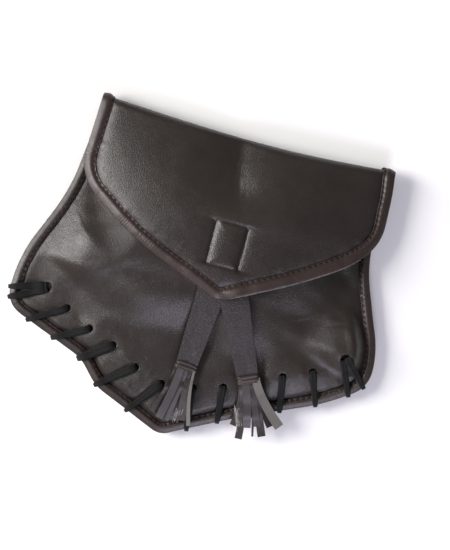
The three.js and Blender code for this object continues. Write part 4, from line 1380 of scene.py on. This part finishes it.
def make_lace(material):
    run = lengths(lace_line[:, :3])
    at = np.linspace(0, run[-1], LACE_PLACES)
    line = read_off(lace_line, run, at)
    places, aside, thickness = line[:, :3], line[:, 3:5], line[:, 5]
    places = places + 0.12 * np.stack([waver(at, 7, seed) for seed in (93, 94, 95)], axis=1)
    thickness = thickness * (1.02 + 0.06 * waver(at, 5, 91) + 0.035 * waver(at, 2, 92))
    way = unit(np.gradient(smoothed(places, 2), axis=0))
    face = unit(np.cross(way, unit(smoothed(level(aside, 0.0), 4))))
    piece = line_piece("lacing", [places], thickness=[thickness], face=[face])
    grown(piece, cord_tree(), radius=LACE_RADIUS * MM, sides=LACE_SIDES, finish=material)
    finished(piece, "lace", "lace")


# ------------------------------------------------------------------ straps and tassels

def rest_z(x, y):
    """Lowest height at which something can lie at a place, on the pouch or on its lace."""
    x, y = np.atleast_1d(np.asarray(x, float)), np.atleast_1d(np.asarray(y, float))
    gap, side, _ = beside(pocket_rim, x, y)
    within = gap * side
    edge_top = SEAM_Z + BODY_ROLL
    z = np.where(within > BINDING_WIDTH, front_surface(x, y) + SHEET / 2,
                 edge_top + 0.1 * np.minimum(within, 0))
    lace = np.hypot(lace_on_top[None, :, 0] - x[:, None], lace_on_top[None, :, 1] - y[:, None])
    tops = np.where(lace < LACE_NEAR, lace_on_top[None, :, 2] + LACE_ROOM, -FAR).max(axis=1)
    return np.maximum(z, tops) + GAP


def strap_frame(strap):
    """The way along a strap, the way across it, and the middle of the wrap at its end."""
    top, end = np.array([*strap["top"], 0.0]), np.array([*strap["end"], 0.0])
    along = unit(end - top)
    aside = np.array([-along[1], along[0], 0])
    under = np.array([
        end + along * a * BAND_LENGTH / 2 + aside * b * STRAP_WIDTH[1] / 2
        for a in (-1, 0, 1) for b in (-1, 0, 1)])
    end[2] = rest_z(under[:, 0], under[:, 1]).max() + WRAP_HALF
    return along, aside, end


def stretched(x, z):
    """The line of a strap pulled tight over a profile, touching only its high places."""
    high = [0]
    for i in range(1, len(x)):
        while len(high) > 1:
            a, b = high[-2:]
            if (z[b] - z[a]) * (x[i] - x[a]) > (z[i] - z[a]) * (x[b] - x[a]):
                break
            high.pop()
        high.append(i)
    return np.interp(x, x[high], z[high])


def make_strap(side, outside, lining):
    strap = STRAPS[side]
    _, aside, end = strap_frame(strap)
    t = shares(STRAP_ROWS)[:, None]
    c = np.linspace(-0.5, 0.5, STRAP_COLUMNS)[None]
    run = t * STRAP_LENGTH
    across = blend(*STRAP_WIDTH, t) * c + 0.35 * waver(run, 22, 31)
    x, y = [blend(strap["top"][i], end[i], t) + aside[i] * across for i in (0, 1)]
    on_tape = ON_TAPE * (1 - smoothstep(TAPE["bottom"] - 1 - y, 0, 13))
    on_strap = strap["raised"] * (1 - smoothstep(STRAPS_PART_Y + 6 - y, 0, 12))
    lying = front_surface(x, y) + SHEET + 1.8 * GAP + on_tape + on_strap
    profile = lying.max(axis=1)
    profile[-1] = end[2]
    z = stretched(t[:, 0], profile)[:, None]
    z = smoothed(z, 4) + 0.12 * (lying - lying.max(axis=1, keepdims=True)) * (1 - t ** 4)
    z = z - STRAP_SAG * np.abs(c) ** 2 + 0.25 * unevenness(run, c * 30, 14, 33)
    piece = sheet(f"strap_{side}", np.dstack([x, y, z]), SHEET, outside, lining)
    finished(crisp(baked(piece)), "leather", f"strap_{side}")


# Section of the wrap along the strap: distance along and how far it stands out.
WRAP = [
    (-2.1, -0.7), (-2.15, -0.1), (-1.8, 0.25), (-1.3, 0.32), (-0.85, 0.1), (-0.6, -0.25),
    (-0.3, 0.05), (0.2, 0.42), (0.8, 0.5), (1.3, 0.3), (1.55, -0.1), (1.8, 0.2), (2.2, 0.3),
    (2.45, -0.05), (2.3, -0.7), (0, -0.9),
]
WRAP_SEEDS = {"left": 101, "right": 111}
WRAP_SIDES = 96


def make_band(side, material):
    along, aside, end = strap_frame(STRAPS[side])
    up = np.array([0, 0, 1])
    around = all_round(WRAP_SIDES)
    half_width = STRAP_WIDTH[1] / 2 + 0.35
    bulge, rise = [
        np.sign(part) * np.abs(part) ** power
        for part, power in ((np.cos(around), 0.4), (np.sin(around), 0.8))]
    run = around * 5
    seed = WRAP_SEEDS[side]
    rings = []
    for k, (a, out) in enumerate(WRAP):
        crumple = 0.3 * unevenness(run, 0 * run + k * 0.5, 2.6, seed)
        drift = 0.35 * unevenness(run, 0 * run + k * 0.2, 4, seed + 1) + 0.25 * np.cos(around)
        out = out + crumple * (out > -0.6)
        ring = end + np.outer(half_width * bulge, aside) + out[:, None] * np.outer(bulge, aside)
        ring = ring + np.outer((WRAP_HALF - 0.4 + out) * rise, up) + np.outer(a + drift, along)
        rings.append(ring)
    count, sides = len(WRAP), len(around)
    faces = []
    for i in range(count):
        for j in range(sides):
            k, m = (i + 1) % count, (j + 1) % sides
            faces.append([i * sides + j, i * sides + m, k * sides + m, k * sides + j])
    piece = new_piece(f"wrap_{side}", np.array(rings), faces, material)
    outward(piece)
    note(piece.data, "along", np.tile(run, count) * MM)
    finished(piece, "leather", f"tassel_band_{side}")


def outward(piece):
    """Turns every face of a closed piece outwards."""
    mesh = piece.data
    corners = np.empty(len(mesh.vertices) * 3)
    mesh.vertices.foreach_get("co", corners)
    corners = corners.reshape(-1, 3)
    mesh.calc_loop_triangles()
    triangles = np.array([tuple(t.vertices) for t in mesh.loop_triangles])
    a, b, c = (corners[triangles[:, k]] - corners.mean(0) for k in range(3))
    if np.einsum("ij,ij->i", a, np.cross(b, c)).sum() < 0:
        mesh.flip_normals()


# Strips of the tassels: where each starts across the wrap, X and Y of its tip, its width
# at both ends, its layer, its twist in degrees, and how much painted sheen it gets, a pale
# lavender standing in for the low light's reflection, or -1 for a strip that lies with its
# cloth side up.
STRIPS = {
    "left": [
        (-4.8, -9.2, -170.6, 3.8, 4.6, 0, -14, 0.0),
        (-2.7, -5.0, -172.9, 4.2, 4.4, 3, -5, 0.55),
        (0.1, -0.9, -173.2, 3.6, 3.8, 2, 6, 0.6),
        (2.4, 3.0, -172.4, 3.6, 4.4, 1, -9, 0.1),
        (3.8, 7.6, -171.2, 4.0, 5.6, 0, 5, 0.32),
        (5.4, 12.8, -172.9, 1.3, 2.4, 3, 9, -1),
        (2.2, 5.0, -172.6, 2.0, 2.2, 0, -10, 0.2),
        (-3.4, -6.4, -168.4, 3.4, 3.6, -1, 12, 0.0),
    ],
    "right": [
        (-4.9, 37.6, -166.2, 2.8, 3.8, 0, 4, 0.0),
        (-4.2, 42.6, -172.9, 3.8, 4.2, 2, 8, 0.05),
        (-2.2, 45.6, -165.4, 4.4, 4.6, 3, -6, 0.4),
        (0.9, 51.2, -163.2, 3.9, 4.5, 2, 9, 0.14),
        (2.6, 55.4, -168.2, 4.0, 4.6, 1, -10, 0.1),
        (3.2, 58.6, -161.6, 3.6, 3.8, 0, -16, 0.05),
        (4.4, 63.9, -160.2, 4.6, 5.6, 3, -9, -1),
        (1.0, 50.2, -169.6, 1.6, 0.8, 0, 40, 0.1),
        (-5.0, 29.8, -140.2, 1.7, 0.9, 2, 20, 0.1),
    ],
}
# Loose threads of the cloth at the ends of strips: between which two places they start,
# how far down they hang, and how many there are.
FRAYS = {
    "left": ((3.8, 7.2), -163.5, -173.0, 7),
    "right": ((35.4, 38.8), -154.0, -168.0, 10),
}
STRIP_THICKNESS = 1.0
LAYER = 0.75
# Random seed of the loose threads of each side.
FRAY_SEEDS = {"left": 17, "right": 23}
FRAY_RADIUS = 0.09
STRIP_ROWS, FRAY_ROWS = 25, 13


def make_tassel(side, outside, lining):
    along, aside, end = strap_frame(STRAPS[side])
    t = shares(STRIP_ROWS)
    lines, widths, faces, pales = [], [], [], []
    for k, strip in enumerate(STRIPS[side]):
        start, tip_x, tip_y, top_width, tip_width, layer, twist, pale = strip
        begin = end + aside * start * 0.96 + along * 0.2
        tip = np.array([tip_x, tip_y, 0.0])
        straight = begin + along * np.linalg.norm((tip - begin)[:2]) * 0.4
        path = bow(begin, straight, tip, t)
        floor = np.max([rest_z(path[:, 0] + s, path[:, 1]) for s in (-1.8, 0, 1.8)], axis=0)
        wanted = floor + STRIP_THICKNESS / 2 + LAYER * (layer + 1)
        start_z = end[2] + 0.45 * (layer - 1) + 0.4
        drop = start_z + 1.2 * np.sin(np.pi * smoothstep(t, 0, 0.3)) - 5.5 * t
        z = blend(start_z, np.maximum(wanted, drop), smoothstep(t, 0.02, 0.2))
        path[:, 2] = smoothed(z[:, None], 2)[:, 0] + 0.3 * np.sin(2.2 * np.pi * t + k) * t
        way = unit(np.gradient(path, axis=0))
        flat = unit(np.cross(np.cross(way, [0.0, 0.0, 1.0]), way))
        lean = np.radians(twist) * smoothstep(t, 0.05, 1)[:, None]
        face = flat * np.cos(lean) + np.cross(way, flat) * np.sin(lean)
        lines.append(path)
        widths.append(blend(top_width, tip_width, t) / 2 * MM)
        faces.append(-face if pale < 0 else face)
        # How far this strip's face is painted towards the pale lavender, a painted sheen.
        pales.append(0 * t + max(pale, 0))
    piece = line_piece(f"tassel_{side}", lines, half_width=widths, face=faces, pale=pales)
    grown(piece, strips_tree(), finish=outside)
    piece.data.materials.append(lining)
    thicken(piece, STRIP_THICKNESS)
    finished(crisp(baked(piece)), "leather", f"tassel_{side}")


def make_frays(side, material):
    """Loose white threads that hang out of the cut end of one strip."""
    (left, right), top, bottom, count = FRAYS[side]
    random = np.random.default_rng(FRAY_SEEDS[side])
    along, _, _ = strap_frame(STRAPS[side])
    t = shares(FRAY_ROWS)
    lines = []
    for share in shares(count):
        length = (top - bottom) * random.uniform(0.55, 1.0)
        x = blend(left, right, share) + random.uniform(-0.15, 0.15) + along[0] * length * t
        x = x + random.uniform(-0.35, 0.35) * t ** 2
        y = top - random.uniform(0, 3) - length * t
        z = rest_z(x, y) + 4 * LAYER + STRIP_THICKNESS * random.uniform(0.8, 1.3)
        z = smoothed(np.maximum(z, z.max() - 5 * t)[:, None], 2)[:, 0]
        lines.append(np.column_stack([x, y, z]))
    piece = line_piece(f"loose_threads_{side}", lines, thickness=[0 * t + 1] * count,
                       face=[facing(t, 1)] * count)
    grown(piece, cord_tree(), radius=FRAY_RADIUS * MM, sides=5, finish=material)
    finished(piece, "backing")


# -------------------------------------------------------------- closure and belt loop

def frame_line(left, right, top, bottom, count):
    """Even places round a rectangle, back to its first corner."""
    corners = [(left, top), (right, top), (right, bottom), (left, bottom), (left, top)]
    return evenly(np.array(corners, float), count)


TAPE_ROWS, TAPE_COLUMNS = 14, 12
LOOP_ROWS, LOOP_COLUMNS = 100, 33
LOOP_SEAM_PLACES, PATCH_SEAM_PLACES = 120, 200


def make_fastener(material):
    x = np.linspace(TAPE["left"], TAPE["right"], TAPE_COLUMNS)[None]
    y = np.linspace(TAPE["top"], TAPE["bottom"], TAPE_ROWS)[:, None]
    grid = raised(np.dstack(np.broadcast_arrays(x, y)), front_surface)
    grid[..., 2] += SHEET / 2 + GAP / 2 + 0.85
    piece = sheet("hook_tape", grid, TAPE_THICKNESS, material)
    round_edges(piece, 0.4)
    finished(baked(piece), "fastener", "fastener_patch")


def make_belt_loop(material):
    sewn = LOOP_BULGE_Z - SHEET / 2 - GAP - LOOP_THICKNESS / 2
    low = LOOP_THICKNESS / 2
    top, bottom = LOOP_TOP, LOOP_BOTTOM
    side_view = rounded_outline([
        (top, sewn, 0), (top - LOOP_LAP, sewn, LOOP_BEND),
        (top - LOOP_LAP - LOOP_RAMP, low, LOOP_BEND),
        (bottom + LOOP_LAP + LOOP_RAMP, low, LOOP_BEND),
        (bottom + LOOP_LAP, sewn, LOOP_BEND), (bottom, sewn, 0),
    ], LOOP_ROWS)
    x = np.linspace(LOOP_HALF, -LOOP_HALF, LOOP_COLUMNS)[None]
    y, z = side_view.T[..., None]
    grid = np.dstack(np.broadcast_arrays(x, y, z))
    piece = sheet("belt_loop", grid, LOOP_THICKNESS - 0.1, material)
    round_edges(piece, 0.5)
    finished(baked(piece), "leather", "belt_loop")
    under = sewn - LOOP_THICKNESS / 2 - 0.05
    side = LOOP_HALF - 2
    for high in (top - 1.6, bottom + LOOP_LAP - 0.8):
        low = high - LOOP_LAP + 2.4
        row = level(frame_line(-side, side, high, low, LOOP_SEAM_PLACES), under)
        STITCH_ROWS.append((row, facing(row, -1)))


def sew_closure():
    """The sewn rectangle of the closure, on the flap."""
    line = frame_line(*PATCH.values(), PATCH_SEAM_PLACES)
    z = flap_surface(line[:, 0], line[:, 1]) + SHEET / 2 + 0.1
    row = smoothed(np.column_stack([line, z]), 1)
    STITCH_ROWS.append((row, facing(row, 1)))


def make_stitches(material):
    rows, ups = zip(*STITCH_ROWS)
    piece = line_piece("stitches", list(rows), up=list(ups))
    grown(piece, stitching_tree(), pitch=STITCH_PITCH * MM, stitch_length=STITCH_LENGTH * MM,
          thread_radius=THREAD_RADIUS * MM, rise=STITCH_RISE * MM, sink=STITCH_SINK * MM,
          seed=5, thread=material)
    finished(piece, "thread")


# ------------------------------------------------------------------------- the pouch

make_camera()
make_lights()
make_floor()

brown = (0.0125, 0.0087, 0.0068), (0.023, 0.0163, 0.0133)
# Leather of the tassel strips, with a pale lavender painted sheen on some of them.
strip_leather = leather("strip_leather", *brown, 0.36, 0.46, 1.0, 0.05,
                        pale=(0.068, 0.064, 0.071))
pouch_leather = leather("pouch_leather", *brown, 0.34, 0.43, 1.0, 0.06)
binding_leather = leather("binding_leather", (0.0172, 0.0113, 0.0095),
                          (0.035, 0.0238, 0.0208), 0.36, 0.47, 0.9, 0.035, True)
flap_edge_leather = leather("flap_edge_leather", (0.019, 0.0112, 0.0095),
                            (0.04, 0.0245, 0.0215), 0.36, 0.47, 0.9, 0.035, True)
# The straps' leather: the pouch's brown made lighter and lavender, a painted cool sheen of the
# low light on the straps.
strap_leather_with_painted_sheen = leather("strap_leather_with_painted_sheen", (0.0138, 0.0108, 0.0108), (0.028, 0.0222, 0.0235),
                        0.34, 0.43, 1.0, 0.07)
cord = lace_cord("lace_cord")
lining = knitted_backing("knitted_backing")
tape = hook_tape("hook_tape")
thread = sewing_thread("sewing_thread")
loose_thread = cut_edge("loose_thread", (0.2, 0.19, 0.19), (0.42, 0.41, 0.4))

make_front_panel(pouch_leather, lining)
back_and_flap, back_top = make_back_and_flap(pouch_leather, lining)
make_body_binding(binding_leather)
make_flap_binding(flap_edge_leather, back_and_flap, back_top)
make_lace(cord)
for side in STRAPS:
    make_strap(side, strap_leather_with_painted_sheen, lining)
    make_band(side, binding_leather)
    make_tassel(side, strip_leather, lining)
    make_frays(side, loose_thread)
make_fastener(tape)
make_belt_loop(pouch_leather)
sew_closure()
make_stitches(thread)
